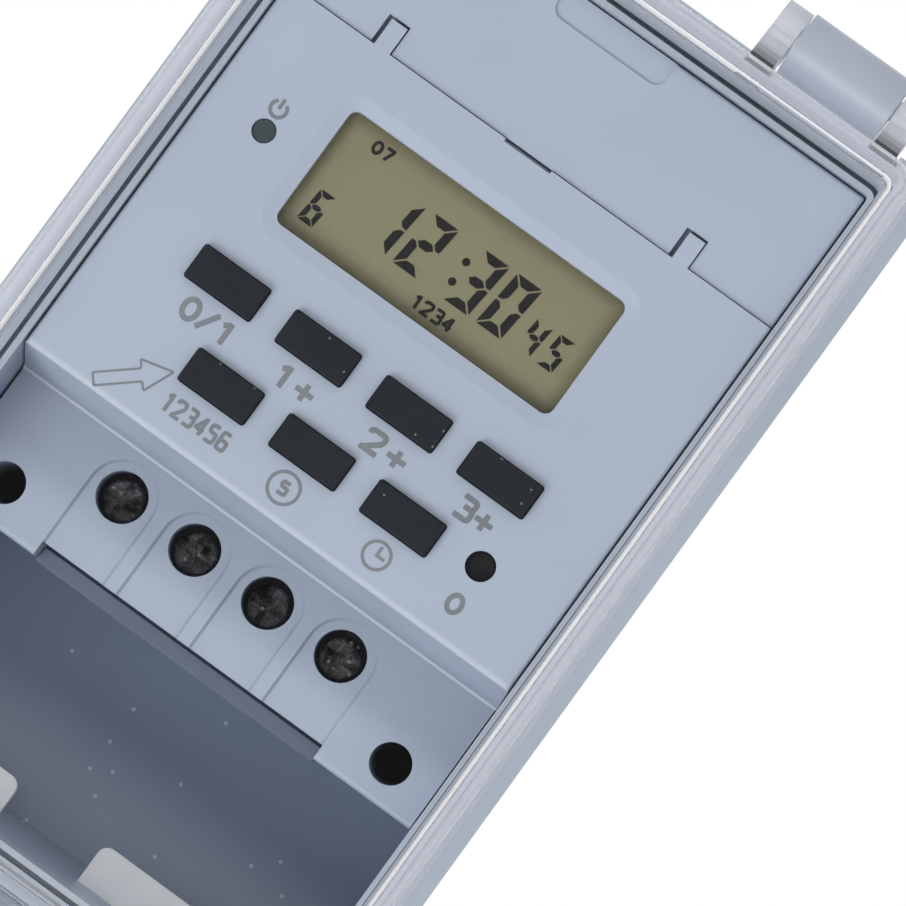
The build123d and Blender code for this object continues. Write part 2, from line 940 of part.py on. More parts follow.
    # Bosses for the control board and for the rear shell's screws
    for x, z in board_screw_places:
        stud(x, z, board_boss_radius, panel_back_y, board_y)
        stud(x, z, board_screw_radius, board_y - board_screw_depth, board_y, mode=Mode.SUBTRACT)
    for z in shell_screw_zs:
        for side in (-1, 1):
            stud(side * shell_screw_x, z, shell_boss_radius, parting_y - shell_screw_depth, parting_y)
            stud(
                side * shell_screw_x,
                z,
                shell_screw_radius,
                parting_y - shell_screw_depth + shell_head_thick,
                parting_y,
                mode=Mode.SUBTRACT,
            )
    # Tubes down to the fixing screws
    for side in (-1, 1):
        stud(
            side * fixing_x,
            fixing_z,
            fixing_hole_radius + fixing_tube_wall,
            deck_y + deck_plate / 2,
            parting_y,
        )
        stud(
            side * fixing_x,
            fixing_z,
            fixing_hole_radius,
            deck_y,
            parting_y,
            mode=Mode.SUBTRACT,
        )
    # Terminal openings in arched bays
    for x in terminal_xs:
        with BuildSketch(level(deck_y)):
            with Locations((x, terminal_z)):
                Circle(bay_radius)
            with Locations((x, (terminal_z + module_bottom) / 2)):
                Rectangle(2 * bay_radius, terminal_z - module_bottom)
        extrude(amount=-bay_depth, taper=bay_taper, mode=Mode.SUBTRACT)
        stud(x, terminal_z, terminal_hole_radius, deck_y, deck_back_y, mode=Mode.SUBTRACT)
    # The deck's lower edge is cut back below the bays
    slab(
        -bays_half,
        bays_half,
        deck_y,
        parting_y,
        module_bottom - module_wall,
        module_bottom + bay_edge_rise,
        mode=Mode.SUBTRACT,
    )
save(module_front, "module_front")

# Rear shell of the module
with BuildPart() as module_rear:
    slab(-rear_half, rear_half, parting_y, module_back_y, module_bottom, module_top)
    fillet(module_rear.edges().filter_by(Axis.Y), rear_round)
    slab(
        -rear_half + rear_wall,
        rear_half - rear_wall,
        parting_y,
        rear_inner_y,
        module_bottom + rear_wall,
        module_top - rear_wall,
        mode=Mode.SUBTRACT,
    )
    for side in (-1, 1):
        tongue_x = side * top_tongue_offset
        slab(
            tongue_x - top_tongue_width / 2,
            tongue_x + top_tongue_width / 2,
            parting_y + top_tongue_depth,
            parting_y + top_tongue_depth + top_tongue_thick,
            module_top - rear_wall / 2,
            module_top + top_tongue_reach,
        )
        # Seats of the fixing screws
        stud(
            side * fixing_x,
            fixing_z,
            fixing_hole_radius + fixing_tube_wall,
            parting_y,
            rear_inner_y,
        )
        stud(
            side * fixing_x,
            fixing_z,
            fixing_hole_radius,
            parting_y,
            fixing_seat_y,
            mode=Mode.SUBTRACT,
        )
        stud(
            side * fixing_x,
            fixing_z,
            fixing_shaft_radius + thread_clearance,
            fixing_seat_y,
            module_back_y,
            mode=Mode.SUBTRACT,
        )
        # Columns for the screws that hold the two shells together
        for z in shell_screw_zs:
            stud(side * shell_screw_x, z, shell_boss_radius, parting_y, rear_inner_y)
            stud(side * shell_screw_x, z, shell_screw_radius, parting_y, module_back_y, mode=Mode.SUBTRACT)
            stud(
                side * shell_screw_x,
                z,
                shell_head_radius + thread_clearance,
                module_back_y - shell_head_thick,
                module_back_y,
                mode=Mode.SUBTRACT,
            )
        # Standoffs for the power board
        for z in (
            module_bottom + power_board_low + power_screw_inset,
            module_top - power_board_top - power_screw_inset,
        ):
            stud(side * power_screw_x, z, board_boss_radius, power_back_y, rear_inner_y)
            stud(
                side * power_screw_x,
                z,
                board_screw_radius,
                power_back_y,
                rear_inner_y,
                mode=Mode.SUBTRACT,
            )
    slab(
        -bays_half,
        bays_half,
        parting_y,
        rear_inner_y,
        module_bottom - rear_wall,
        module_bottom + rear_wall,
        mode=Mode.SUBTRACT,
    )
save(module_rear, "module_rear")

# Screws that hold the two shells of the module together
with BuildPart() as shell_screws:
    for z in shell_screw_zs:
        for side in (-1, 1):
            x = side * shell_screw_x
            stud(
                x,
                z,
                shell_screw_radius,
                parting_y - shell_screw_depth + shell_head_thick,
                module_back_y - shell_head_thick,
            )
            stud(x, z, shell_head_radius, module_back_y - shell_head_thick, module_back_y)
            slab(
                x - shell_slot_length / 2,
                x + shell_slot_length / 2,
                module_back_y - slot_depth,
                module_back_y,
                z - slot_width / 2,
                z + slot_width / 2,
                mode=Mode.SUBTRACT,
            )
save(shell_screws, "shell_screws")

# Battery door: it tips out about its lower front edge
with BuildPart() as battery_door:
    slab(-module_half, module_half, door_y, door_y + door_thick, door_bottom, module_top)
    fillet(battery_door.edges().filter_by(Axis.Y).group_by(Axis.Z)[-1], module_corner)
    fillet(battery_door.edges().filter_by(Axis.Z).group_by(Axis.Y)[0], panel_edge_round)
    for side in (-1, 1):
        slab(
            side * tongue_offset - tongue_width / 2 - tongue_gap,
            side * tongue_offset + tongue_width / 2 + tongue_gap,
            door_y,
            door_y + door_thick,
            door_bottom,
            panel_top + tongue_height + tongue_gap,
            mode=Mode.SUBTRACT,
        )
    with BuildSketch(level(door_y)):
        with Locations((0, module_top)):
            RectangleRounded(door_recess_width, 2 * door_recess_height, door_recess_round)
    extrude(amount=-door_recess_depth, mode=Mode.SUBTRACT)
save(battery_door, "battery_door")

# Backup cell and its two contacts
with BuildPart() as backup_cell:
    cross_bar(-cell_length / 2, cell_length / 2, cell_y, cell_z, cell_radius)
    fillet(backup_cell.edges().filter_by(GeomType.CIRCLE), cell_edge_round)
    cross_bar(cell_length / 2, cell_length / 2 + cell_gap, cell_y, cell_z, cell_button_radius)
save(backup_cell, "backup_cell")
with BuildPart() as cell_contacts:
    for side in (-1, 1):
        x = side * (pocket_half - contact_thick / 2)
        slab(
            x - contact_thick / 2,
            x + contact_thick / 2,
            ledge_y + cell_gap,
            pocket_back_y,
            cell_z - contact_width / 2,
            cell_z + contact_width / 2,
        )
        dimple_x = side * (pocket_half - contact_thick - cell_gap / 2)
        cross_bar(
            dimple_x - cell_gap / 2, dimple_x + cell_gap / 2, cell_y, cell_z, cell_button_radius
        )
save(cell_contacts, "cell_contacts")

# Display window, display glass, its frame and the two rubber connector strips
with BuildPart() as display_window:
    with BuildSketch(level(seat_y)):
        with Locations((0, display_z)):
            RectangleRounded(
                display_width - 2 * window_gap, display_height - 2 * window_gap, display_corner - window_gap
            )
    extrude(amount=window_thick)
    with BuildSketch(level(window_back_y)):
        with Locations((0, display_z)):
            RectangleRounded(
                display_width + 2 * window_flange,
                display_height + 2 * window_flange,
                display_corner + window_flange - window_gap,
            )
    extrude(amount=window_flange_thick)
save(display_window, "display_window")
glass_width = display_width + 2 * glass_margin
glass_height = display_height + 2 * glass_margin
glass_back_y = panel_back_y + glass_thick
with BuildPart() as display_glass:
    slab(
        -glass_width / 2,
        glass_width / 2,
        panel_back_y,
        glass_back_y,
        display_z - glass_height / 2,
        display_z + glass_height / 2,
    )
save(display_glass, "display_glass")
with BuildPart() as display_frame:
    with BuildSketch(level(board_y)):
        with Locations((0, display_z)):
            Rectangle(glass_width + 2 * (glass_gap + frame_wall), glass_height + 2 * (glass_gap + frame_wall))
            Rectangle(glass_width + 2 * glass_gap, glass_height + 2 * glass_gap, mode=Mode.SUBTRACT)
    extrude(amount=board_y - panel_back_y)
save(display_frame, "display_frame")
with BuildPart() as connector_strips:
    for side in (-1, 1):
        strip_z = display_z + side * (glass_height - zebra_height) / 2
        slab(
            -display_width / 2,
            display_width / 2,
            glass_back_y,
            board_y,
            strip_z - zebra_height / 2,
            strip_z + zebra_height / 2,
        )
save(connector_strips, "connector_strips")

# Keys: each cap stands in its opening and is kept by a flange behind the panel
key_back_y = panel_back_y + key_skirt_gap + key_flange_thick
for number, (x, z) in enumerate(key_places, start=1):
    with BuildPart() as key:
        with BuildSketch(level(key_back_y)):
            with Locations((x, z)):
                RectangleRounded(key_width, key_height, key_corner)
        extrude(amount=key_back_y - panel_y + key_proud)
        fillet(key.edges().group_by(Axis.Y)[0], key_edge_round)
        slab(
            x - key_width / 2 - key_flange,
            x + key_width / 2 + key_flange,
            key_back_y - key_flange_thick,
            key_back_y,
            z - key_height / 2 - key_flange,
            z + key_height / 2 + key_flange,
        )
    save(key, f"key_{number}")

# Reset button, pressed with a pen point through its round hole
with BuildPart() as reset_button:
    stud(reset_offset, reset_z, reset_radius, panel_y + reset_sink, key_back_y)
    stud(
        reset_offset,
        reset_z,
        reset_radius + reset_flange + reset_gap,
        key_back_y - key_flange_thick,
        key_back_y,
    )
save(reset_button, "reset_button")

# Indicator on the control board
with BuildPart() as status_led:
    stud(led_x, led_z, led_radius, panel_y + led_sink, board_y)
    stud(led_x, led_z, led_radius + led_collar, board_y - led_collar_length, board_y)
save(status_led, "status_led")

# Control board with its push switches and screws
control_bottom = panel_bottom + control_board_margin
control_top = panel_top - control_board_margin
notch_top = shell_screw_zs[0] + shell_boss_radius + board_notch_gap
with BuildPart() as control_board:
    slab(-control_half, control_half, board_y, board_back_y, control_bottom, control_top)
    for side in (-1, 1):
        slab(
            side * shell_screw_x - board_notch,
            side * shell_screw_x + board_notch,
            board_y,
            board_back_y,
            control_bottom - board_notch,
            notch_top,
            mode=Mode.SUBTRACT,
        )
    for x, z in board_screw_places:
        stud(x, z, board_screw_radius, board_y, board_back_y, mode=Mode.SUBTRACT)
save(control_board, "control_board")
plunger_y = key_back_y + key_travel + switch_clearance
reset_plunger_y = key_back_y + reset_travel + switch_clearance
with BuildPart() as key_switches:
    for x, z in key_places:
        half = switch_side / 2
        slab(x - half, x + half, plunger_y + switch_plunger_height, board_y, z - half, z + half)
        stud(x, z, switch_plunger_radius, plunger_y, plunger_y + switch_plunger_height)
    half = reset_switch_side / 2
    slab(
        reset_offset - half,
        reset_offset + half,
        reset_plunger_y + switch_plunger_height,
        board_y,
        reset_z - half,
        reset_z + half,
    )
    stud(
        reset_offset,
        reset_z,
        reset_plunger_radius,
        reset_plunger_y,
        reset_plunger_y + switch_plunger_height,
    )
save(key_switches, "key_switches")
with BuildPart() as control_board_screws:
    for x, z in board_screw_places:
        stud(x, z, board_screw_radius, board_y - board_screw_depth, board_back_y)
        stud(x, z, board_screw_head_radius, board_back_y, board_back_y + board_screw_head)
save(control_board_screws, "control_board_screws")

# Power board on the rear shell, with its screws
power_bottom = module_bottom + power_board_low
power_top = module_top - power_board_top
power_screw_zs = (power_bottom + power_screw_inset, power_top - power_screw_inset)
with BuildPart() as power_board:
    slab(
        -power_half,
        power_half,
        power_front_y,
        power_back_y,
        power_bottom,
        power_top,
    )
    for z in power_screw_zs:
        for side in (-1, 1):
            stud(
                side * power_screw_x,
                z,
                board_screw_radius,
                power_front_y,
                power_back_y,
                mode=Mode.SUBTRACT,
            )
save(power_board, "power_board")
with BuildPart() as power_board_screws:
    for z in power_screw_zs:
        for side in (-1, 1):
            x = side * power_screw_x
            stud(x, z, board_screw_radius, power_front_y, rear_inner_y)
            stud(x, z, board_screw_head_radius, power_front_y - board_screw_head, power_front_y)
save(power_board_screws, "power_board_screws")

# Header that joins the two boards
header_z = control_top - header_drop
with BuildPart() as board_header:
    header_half = header_pins * header_pitch / 2
    for y0, y1 in (
        (board_back_y, board_back_y + header_bar_height),
        (power_front_y - header_bar_height, power_front_y),
    ):
        slab(
            -header_half,
            header_half,
            y0,
            y1,
            header_z - header_bar_height / 2,
            header_z + header_bar_height / 2,
        )
    for i in range(header_pins):
        pin_x = (i - (header_pins - 1) / 2) * header_pitch
        stud(pin_x, header_z, header_pin_radius, board_back_y, power_front_y)
save(board_header, "board_header")

# Parts that stand on the power board
relay_x = -(relay_width + film_cap_height) / 2
relay_z = power_bottom + 2 * power_screw_inset + relay_height / 2
with BuildPart() as relay:
    slab(
        relay_x - relay_width / 2,
        relay_x + relay_width / 2,
        power_front_y - relay_depth,
        power_front_y,
        relay_z - relay_height / 2,
        relay_z + relay_height / 2,
    )
    fillet(relay.edges().filter_by(Axis.Y), relay_round)
save(relay, "relay")
film_cap_x = relay_x + relay_width / 2 + film_cap_height / 2 + film_cap_width / 2
with BuildPart() as film_capacitor:
    slab(
        film_cap_x - film_cap_width / 2,
        film_cap_x + film_cap_width / 2,
        power_front_y - film_cap_depth,
        power_front_y,
        relay_z - film_cap_height / 2,
        relay_z + film_cap_height / 2,
    )
save(film_capacitor, "film_capacitor")
bulk_cap_z = relay_z + relay_height / 2 + 2 * bulk_cap_radius
with BuildPart() as bulk_capacitor:
    stud(film_cap_x, bulk_cap_z, bulk_cap_radius, power_front_y - bulk_cap_depth, power_front_y)
    fillet(bulk_capacitor.edges().group_by(Axis.Y)[0], bulk_cap_round)
save(bulk_capacitor, "bulk_capacitor")
with BuildPart() as varistor:
    varistor_x = relay_x - varistor_shift
    slab(
        varistor_x - varistor_width / 2,
        varistor_x + varistor_width / 2,
        power_front_y - varistor_depth,
        power_front_y,
        bulk_cap_z - varistor_height / 2,
        bulk_cap_z + varistor_height / 2,
    )
    fillet(varistor.edges().filter_by(Axis.Z).group_by(Axis.Y)[0], varistor_round)
save(varistor, "varistor")
with BuildPart() as rectifier_diodes:
    for i in range(diode_count):
        diode_z = relay_z + relay_height / 2 + diode_start + i * diode_pitch
        cross_bar(-diode_length / 2, diode_length / 2, power_front_y - diode_radius, diode_z, diode_radius)
save(rectifier_diodes, "rectifier_diodes")

# Terminal carrier: an insulating block behind the deck with one chamber for each clamp.
# Below the deck's edge its face steps back, with a narrow groove along the top of the step.
carrier_half = bays_half - carrier_gap / 2
carrier_front_y = deck_back_y + carrier_gap
carrier_back_y = rear_inner_y - carrier_gap
carrier_bottom = module_bottom - carrier_foot
carrier_high = panel_bottom - carrier_top
carrier_step_z = module_bottom + bay_edge_rise + carrier_cut_rise
chamber_y = carrier_front_y + chamber_front
chamber_back_y = chamber_y + chamber_depth
bar_y = chamber_back_y - cage_gap - cage_wall - bar_gap - bar_thick
with BuildPart() as terminal_carrier:
    slab(-carrier_half, carrier_half, carrier_front_y, carrier_back_y, carrier_bottom, carrier_high)
    slab(
        -carrier_half,
        carrier_half,
        carrier_front_y,
        carrier_front_y + carrier_cut,
        carrier_bottom,
        carrier_step_z,
        mode=Mode.SUBTRACT,
    )
    slab(
        -carrier_half,
        carrier_half,
        carrier_front_y + carrier_cut,
        carrier_front_y + carrier_cut + carrier_groove_depth,
        carrier_step_z - carrier_groove_height,
        carrier_step_z,
        mode=Mode.SUBTRACT,
    )
    for x in terminal_xs:
        slab(
            x - chamber_width / 2,
            x + chamber_width / 2,
            chamber_y,
            chamber_back_y,
            carrier_bottom,
            carrier_high - chamber_roof,
            mode=Mode.SUBTRACT,
        )
        stud(x, terminal_z, terminal_hole_radius, carrier_front_y, chamber_y, mode=Mode.SUBTRACT)
        slab(
            x - bar_width / 2 - bar_gap,
            x + bar_width / 2 + bar_gap,
            bar_y - bar_gap,
            bar_y + bar_thick + bar_gap,
            carrier_bottom,
            carrier_high,
            mode=Mode.SUBTRACT,
        )
save(terminal_carrier, "terminal_carrier")

# Clamp cages, one in each chamber
cage_half = chamber_width / 2 - cage_gap
cage_y = chamber_y + cage_gap
cage_back_y = chamber_back_y - cage_gap
with BuildPart() as clamp_cages:
    for x in terminal_xs:
        slab(
            x - cage_half,
            x + cage_half,
            cage_y,
            cage_back_y,
            screw_z - cage_height / 2,
            screw_z + cage_height / 2,
        )
        slab(
            x - cage_half + cage_wall,
            x + cage_half - cage_wall,
            cage_y + cage_wall,
            cage_back_y - cage_wall,
            screw_z - cage_height / 2,
            screw_z + cage_height / 2,
            mode=Mode.SUBTRACT,
        )
        stud(
            x,
            screw_z,
            terminal_shaft_radius + thread_clearance,
            cage_y,
            cage_y + cage_wall,
            mode=Mode.SUBTRACT,
        )
save(clamp_cages, "clamp_cages")

# Bars from the clamps to the power board
with BuildPart() as terminal_bars:
    for x in terminal_xs:
        slab(
            x - bar_width / 2,
            x + bar_width / 2,
            bar_y,
            bar_y + bar_thick,
            module_bottom + bar_foot,
            module_bottom + bar_rise,
        )
        slab(
            x - bar_width / 2,
            x + bar_width / 2,
            bar_y,
            power_front_y,
            module_bottom + bar_rise - bar_thick,
            module_bottom + bar_rise,
        )
save(terminal_bars, "terminal_bars")

# Terminal screws with cross slots
head_y = deck_y + terminal_head_sink
seat_head_y = head_y + terminal_head_thick
for number, x in enumerate(terminal_xs, start=1):
    with BuildPart() as terminal_screw:
        stud(x, screw_z, terminal_head_radius, head_y, seat_head_y)
        fillet(terminal_screw.edges().group_by(Axis.Y)[0], terminal_head_round)
        stud(x, screw_z, terminal_shaft_radius, seat_head_y, seat_head_y + terminal_shaft_length)
        arm = terminal_head_radius - slot_width / 2
        for arm_x, arm_z in ((arm, slot_width / 2), (slot_width / 2, arm)):
            slab(
                x - arm_x,
                x + arm_x,
                head_y,
                head_y + slot_depth,
                screw_z - arm_z,
                screw_z + arm_z,
                mode=Mode.SUBTRACT,
            )
    save(terminal_screw, f"terminal_screw_{number}")

# Long screws that hold the module to the bosses of the case
fixing_head_y = fixing_seat_y - fixing_head_thick
for side, name in ((-1, "fixing_screw_left"), (1, "fixing_screw_right")):
    with BuildPart() as fixing_screw:
        x = side * fixing_x
        stud(x, fixing_z, fixing_head_radius, fixing_head_y, fixing_seat_y)
        stud(x, fixing_z, fixing_shaft_radius, fixing_seat_y, fixing_seat_y + fixing_shaft_length)
        arm = fixing_head_radius - slot_width
        for arm_x, arm_z in ((arm, slot_width / 2), (slot_width / 2, arm)):
            slab(
                x - arm_x,
                x + arm_x,
                fixing_head_y,
                fixing_head_y + slot_depth,
                fixing_z - arm_z,
                fixing_z + arm_z,
                mode=Mode.SUBTRACT,
            )
    save(fixing_screw, name)
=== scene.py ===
"""Finishes, display marks and printing of a digital timer switch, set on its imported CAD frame.

Metres, Z up, front towards -Y. Each operator makes one piece or one group of like pieces.
"""
import json
import math

import bpy
import numpy as np
from mathutils import Matrix, Vector


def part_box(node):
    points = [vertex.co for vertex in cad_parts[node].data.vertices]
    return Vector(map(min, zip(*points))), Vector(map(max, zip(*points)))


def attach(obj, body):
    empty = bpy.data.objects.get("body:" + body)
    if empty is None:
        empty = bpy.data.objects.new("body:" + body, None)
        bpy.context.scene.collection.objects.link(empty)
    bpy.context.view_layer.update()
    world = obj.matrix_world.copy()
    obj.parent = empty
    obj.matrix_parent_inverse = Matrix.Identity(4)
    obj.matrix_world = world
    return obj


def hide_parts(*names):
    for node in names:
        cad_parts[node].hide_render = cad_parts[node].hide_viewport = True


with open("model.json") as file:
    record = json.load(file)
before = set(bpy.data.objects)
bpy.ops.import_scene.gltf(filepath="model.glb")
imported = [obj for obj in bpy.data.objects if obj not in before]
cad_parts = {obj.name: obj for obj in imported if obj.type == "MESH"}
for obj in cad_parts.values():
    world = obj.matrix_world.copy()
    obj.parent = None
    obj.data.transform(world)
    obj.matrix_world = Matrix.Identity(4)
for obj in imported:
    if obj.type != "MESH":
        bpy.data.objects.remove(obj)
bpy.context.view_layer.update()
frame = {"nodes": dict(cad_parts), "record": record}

bl_info = {
    "name": "Timer switch finish",
    "version": (1, 0, 0),
    "blender": (4, 5, 0),
    "location": "3D View > Sidebar > Timer switch",
    "description": "Display, printing, finishes and stage of a digital timer switch",
    "category": "Object",
}

MM = 0.001


def box_mm(node):
    """The low and high corner of a CAD node's box, in mm."""
    return [[value / MM for value in corner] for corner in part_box(node)]


GLASS_BOX = box_mm("display_glass")
PANEL_Y = box_mm("module_front")[0][1]
DISPLAY_Z = (GLASS_BOX[0][2] + GLASS_BOX[1][2]) / 2
EAR_THICK = 2.9  # of the cover, along X
PAINTED_GAP_SHADE = (0.012, 0.013, 0.018, 1)  # colour of painted shade in a narrow gap


# Meshes

def loft(rings, closed_path=False):
    """Vertices and faces of a skin over rings of equal count: point (i, j) is point j of ring i.

    The skin closes on itself along j. Along i it closes too, or ends in a fan round each end ring's middle.
    """
    rings = np.asarray(rings, dtype=float)
    count, around = rings.shape[:2]
    i = np.arange(count if closed_path else count - 1)[:, None]
    j = np.arange(around)[None, :]
    after_i = (i + 1) % count
    after_j = (j + 1) % around
    quads = np.stack(
        [i * around + j, i * around + after_j, after_i * around + after_j, after_i * around + j], axis=-1
    ).reshape(-1, 4)
    points = rings.reshape(-1, 3)
    faces = quads.tolist()
    if not closed_path:
        first, last = len(points), len(points) + 1
        points = np.vstack([points, rings[0].mean(axis=0), rings[-1].mean(axis=0)])
        edge = np.arange(around)
        after = (edge + 1) % around
        end = (count - 1) * around
        faces += np.stack([after, edge, np.full(around, first)], axis=1).tolist()
        faces += np.stack([end + edge, end + after, np.full(around, last)], axis=1).tolist()
    return points, faces


def volume_sign(points, faces):
    """Positive where the faces point outwards: the sum of each fan triangle's signed volume to the origin."""
    middle = points.mean(axis=0)
    total = 0.0
    for size in (3, 4):
        rows = np.array([f for f in faces if len(f) == size], dtype=int)
        for k in range(1, size - 1):
            if len(rows):
                a = points[rows[:, 0]] - middle
                b = points[rows[:, k]] - middle
                c = points[rows[:, k + 1]] - middle
                total += float(np.einsum("ij,ij->i", a, np.cross(b, c)).sum())
    return total


def joined(shells):
    """One set of vertices and faces from several closed shells, each with its faces turned outwards."""
    all_points, all_faces, offset = [], [], 0
    for points, faces in shells:
        if volume_sign(points, faces) < 0:
            faces = [face[::-1] for face in faces]
        all_points.append(points)
        all_faces += [[index + offset for index in face] for face in faces]
        offset += len(points)
    return np.vstack(all_points), all_faces


def make_piece(name, shells, body, material):
    """A mesh object from closed shells in millimetres, riding on a body."""
    points, faces = joined(shells)
    mesh = bpy.data.meshes.new(name)
    mesh.from_pydata((points * MM).tolist(), [], faces)
    mesh.validate()
    mesh.materials.append(material)
    mesh.update()
    piece = bpy.data.objects.new(name, mesh)
    bpy.context.scene.collection.objects.link(piece)
    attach(piece, body)
    return piece


def at_depth(points, y):
    """Points (x, z) set at one Y."""
    return np.column_stack([points[:, 0], np.full(len(points), y), points[:, 1]])


def plate(outline, y_front, thickness, edge=0.0):
    """A flat closed plate: the outline (x, z) carried back from y_front, its front edge turned in by edge."""
    outline = np.asarray(outline, dtype=float)
    middle = outline.mean(axis=0)
    away = outline - middle
    length = np.linalg.norm(away, axis=1, keepdims=True)
    inner = outline - away / np.maximum(length, 1e-9) * edge
    rings = [at_depth(outline, y_front + edge), at_depth(outline, y_front + thickness)]
    if edge > 0:
        rings.insert(0, at_depth(inner, y_front))
    return loft(rings)


def rounded_rectangle(width, height, radius, steps=8):
    """Corner arcs of one radius joined by straight sides, as (x, z) points about the origin."""
    turn = np.linspace(0, math.pi / 2, steps)
    points = []
    for quarter, (sx, sz) in enumerate(((1, 1), (-1, 1), (-1, -1), (1, -1))):
        angle = turn + quarter * math.pi / 2
        centre = np.array([sx * (width / 2 - radius), sz * (height / 2 - radius)])
        points.append(centre + radius * np.column_stack([np.cos(angle), np.sin(angle)]))
    return np.vstack(points)


def circle(radius, steps=40):
    """Points (x, z) at equal angles round the origin."""
    angle = np.arange(steps) * 2 * math.pi / steps
    return radius * np.column_stack([np.cos(angle), np.sin(angle)])


def stroke(path, width, y_front, thickness, closed=False):
    """A flat band along a path (x, z): at each point the band's edge lies half its width along the normal."""
    path = np.asarray(path, dtype=float)
    if closed:
        ahead, behind = np.roll(path, -1, axis=0), np.roll(path, 1, axis=0)
        tangent = ahead - behind
    else:
        tangent = np.gradient(path, axis=0)
    tangent /= np.linalg.norm(tangent, axis=1, keepdims=True)
    normal = np.column_stack([-tangent[:, 1], tangent[:, 0]])
    left, right = path + normal * width / 2, path - normal * width / 2
    back = y_front + thickness
    corners = ((left, y_front), (right, y_front), (right, back), (left, back))
    return loft(np.stack([at_depth(side, y) for side, y in corners], axis=1), closed_path=closed)


def fillet_path(points, radius, steps=5):
    """A path with each corner replaced by a quadratic curve that starts and ends radius away from it."""
    points = np.asarray(points, dtype=float)
    t = np.linspace(0, 1, steps)[:, None]
    parts = [points[:1]]
    for a, b, c in zip(points[:-2], points[1:-1], points[2:]):
        start = b + (a - b) / np.linalg.norm(a - b) * radius
        end = b + (c - b) / np.linalg.norm(c - b) * radius
        parts.append((1 - t) ** 2 * start + 2 * t * (1 - t) * b + t ** 2 * end)
    parts.append(points[-1:])
    return np.vstack(parts)


# Node groups and materials

def add_node(tree, kind, label="", **settings):
    """A node with its label and its settings."""
    node = tree.nodes.new(kind)
    node.label = label
    for key, value in settings.items():
        setattr(node, key, value)
    return node


def wire(tree, source, target):
    """A link from one socket to another."""
    tree.links.new(source, target)


def set_inputs(node, values):
    """Plain values for a node's inputs, by the sockets' names."""
    for name, value in values.items():
        node.inputs[name].default_value = value


def separate(tree, vector):
    """The X, Y and Z of a vector."""
    parts = add_node(tree, "ShaderNodeSeparateXYZ")
    wire(tree, vector, parts.inputs["Vector"])
    return parts.outputs


def pair(tree, operation, first, second):
    """One value worked out from two."""
    node = add_node(tree, "ShaderNodeMath", operation.lower(), operation=operation)
    wire(tree, first, node.inputs[0])
    wire(tree, second, node.inputs[1])
    return node.outputs[0]


def larger(tree, first, second):
    """The larger of two values."""
    return pair(tree, "MAXIMUM", first, second)


def product(tree, first, second):
    """Two values multiplied."""
    return pair(tree, "MULTIPLY", first, second)


def absolute(tree, value):
    """A value without its sign."""
    node = add_node(tree, "ShaderNodeMath", "absolute", operation="ABSOLUTE")
    wire(tree, value, node.inputs[0])
    return node.outputs[0]


def remap(tree, value, label, start=0.0, end=1.0, low=0.0, high=1.0, smooth=False):
    """A value carried from the span start to end over to the span low to high, and held at its ends."""
    ramp = add_node(tree, "ShaderNodeMapRange", label)
    if smooth:
        ramp.interpolation_type = "SMOOTHSTEP"
    set_inputs(ramp, {"From Min": start, "From Max": end, "To Min": low, "To Max": high})
    wire(tree, value, ramp.inputs["Value"])
    return ramp.outputs["Result"]


def beyond(tree, value, start, end, label):
    """A soft step from nought at one place to one at another, in millimetres."""
    return remap(tree, value, label, start * MM, end * MM, smooth=True)


def box_mask(tree, place, low, high, soft=0.4):
    """One inside a box with corners low and high in mm, nought outside: the product of six soft steps."""
    parts = separate(tree, place)
    mask = None
    for axis, start, end in zip("XYZ", low, high):
        for edge, way in ((start, 1), (end, -1)):
            step = beyond(tree, parts[axis], edge, edge + way * soft, axis + " limit")
            mask = step if mask is None else product(tree, mask, step)
    return mask


def overlay(tree, mask, under, color, label):
    """A colour with one plain colour laid over it where the mask is one."""
    mix = add_node(tree, "ShaderNodeMix", label, data_type="RGBA")
    mix.inputs["B"].default_value = color
    wire(tree, mask, mix.inputs["Factor"])
    wire(tree, under, mix.inputs["A"])
    return mix.outputs["Result"]


def level_between(tree, factor, first, second, label):
    """A level that goes from the first to the second with the factor; each is a socket or a number."""
    mix = add_node(tree, "ShaderNodeMix", label, data_type="FLOAT")
    wire(tree, factor, mix.inputs["Factor"])
    for name, level in (("A", first), ("B", second)):
        if isinstance(level, float):
            mix.inputs[name].default_value = level
        else:
            wire(tree, level, mix.inputs[name])
    return mix.outputs["Result"]


def shader_between(tree, factor, first, second):
    """A shader that goes from the first to the second with the factor."""
    mix = add_node(tree, "ShaderNodeMixShader")
    wire(tree, factor, mix.inputs["Fac"])
    wire(tree, first, mix.inputs[1])
    wire(tree, second, mix.inputs[2])
    return mix.outputs["Shader"]


def plain_shader(tree, kind, color, label):
    """A shader of one kind with one plain colour."""
    node = add_node(tree, kind, label)
    node.inputs["Color"].default_value = color
    return node.outputs["BSDF"]


def noise(tree, vector, label, detail=2.0):
    """A noise texture on the given coordinates."""
    node = add_node(tree, "ShaderNodeTexNoise", label)
    node.inputs["Detail"].default_value = detail
    wire(tree, vector, node.inputs["Vector"])
    return node


GROUPS = {}


def new_group(name, inputs, outputs):
    """A shader node group with the named sockets, kept in GROUPS; each input is (name, type, default)."""
    group = bpy.data.node_groups.new(name, "ShaderNodeTree")
    for label, kind, default in inputs:
        socket = group.interface.new_socket(name=label, in_out="INPUT", socket_type=kind)
        if default is not None:
            socket.default_value = default
    for label, kind in outputs:
        group.interface.new_socket(name=label, in_out="OUTPUT", socket_type=kind)
    GROUPS[name] = group
    return group, group.nodes.new("NodeGroupInput").outputs, group.nodes.new("NodeGroupOutput").inputs


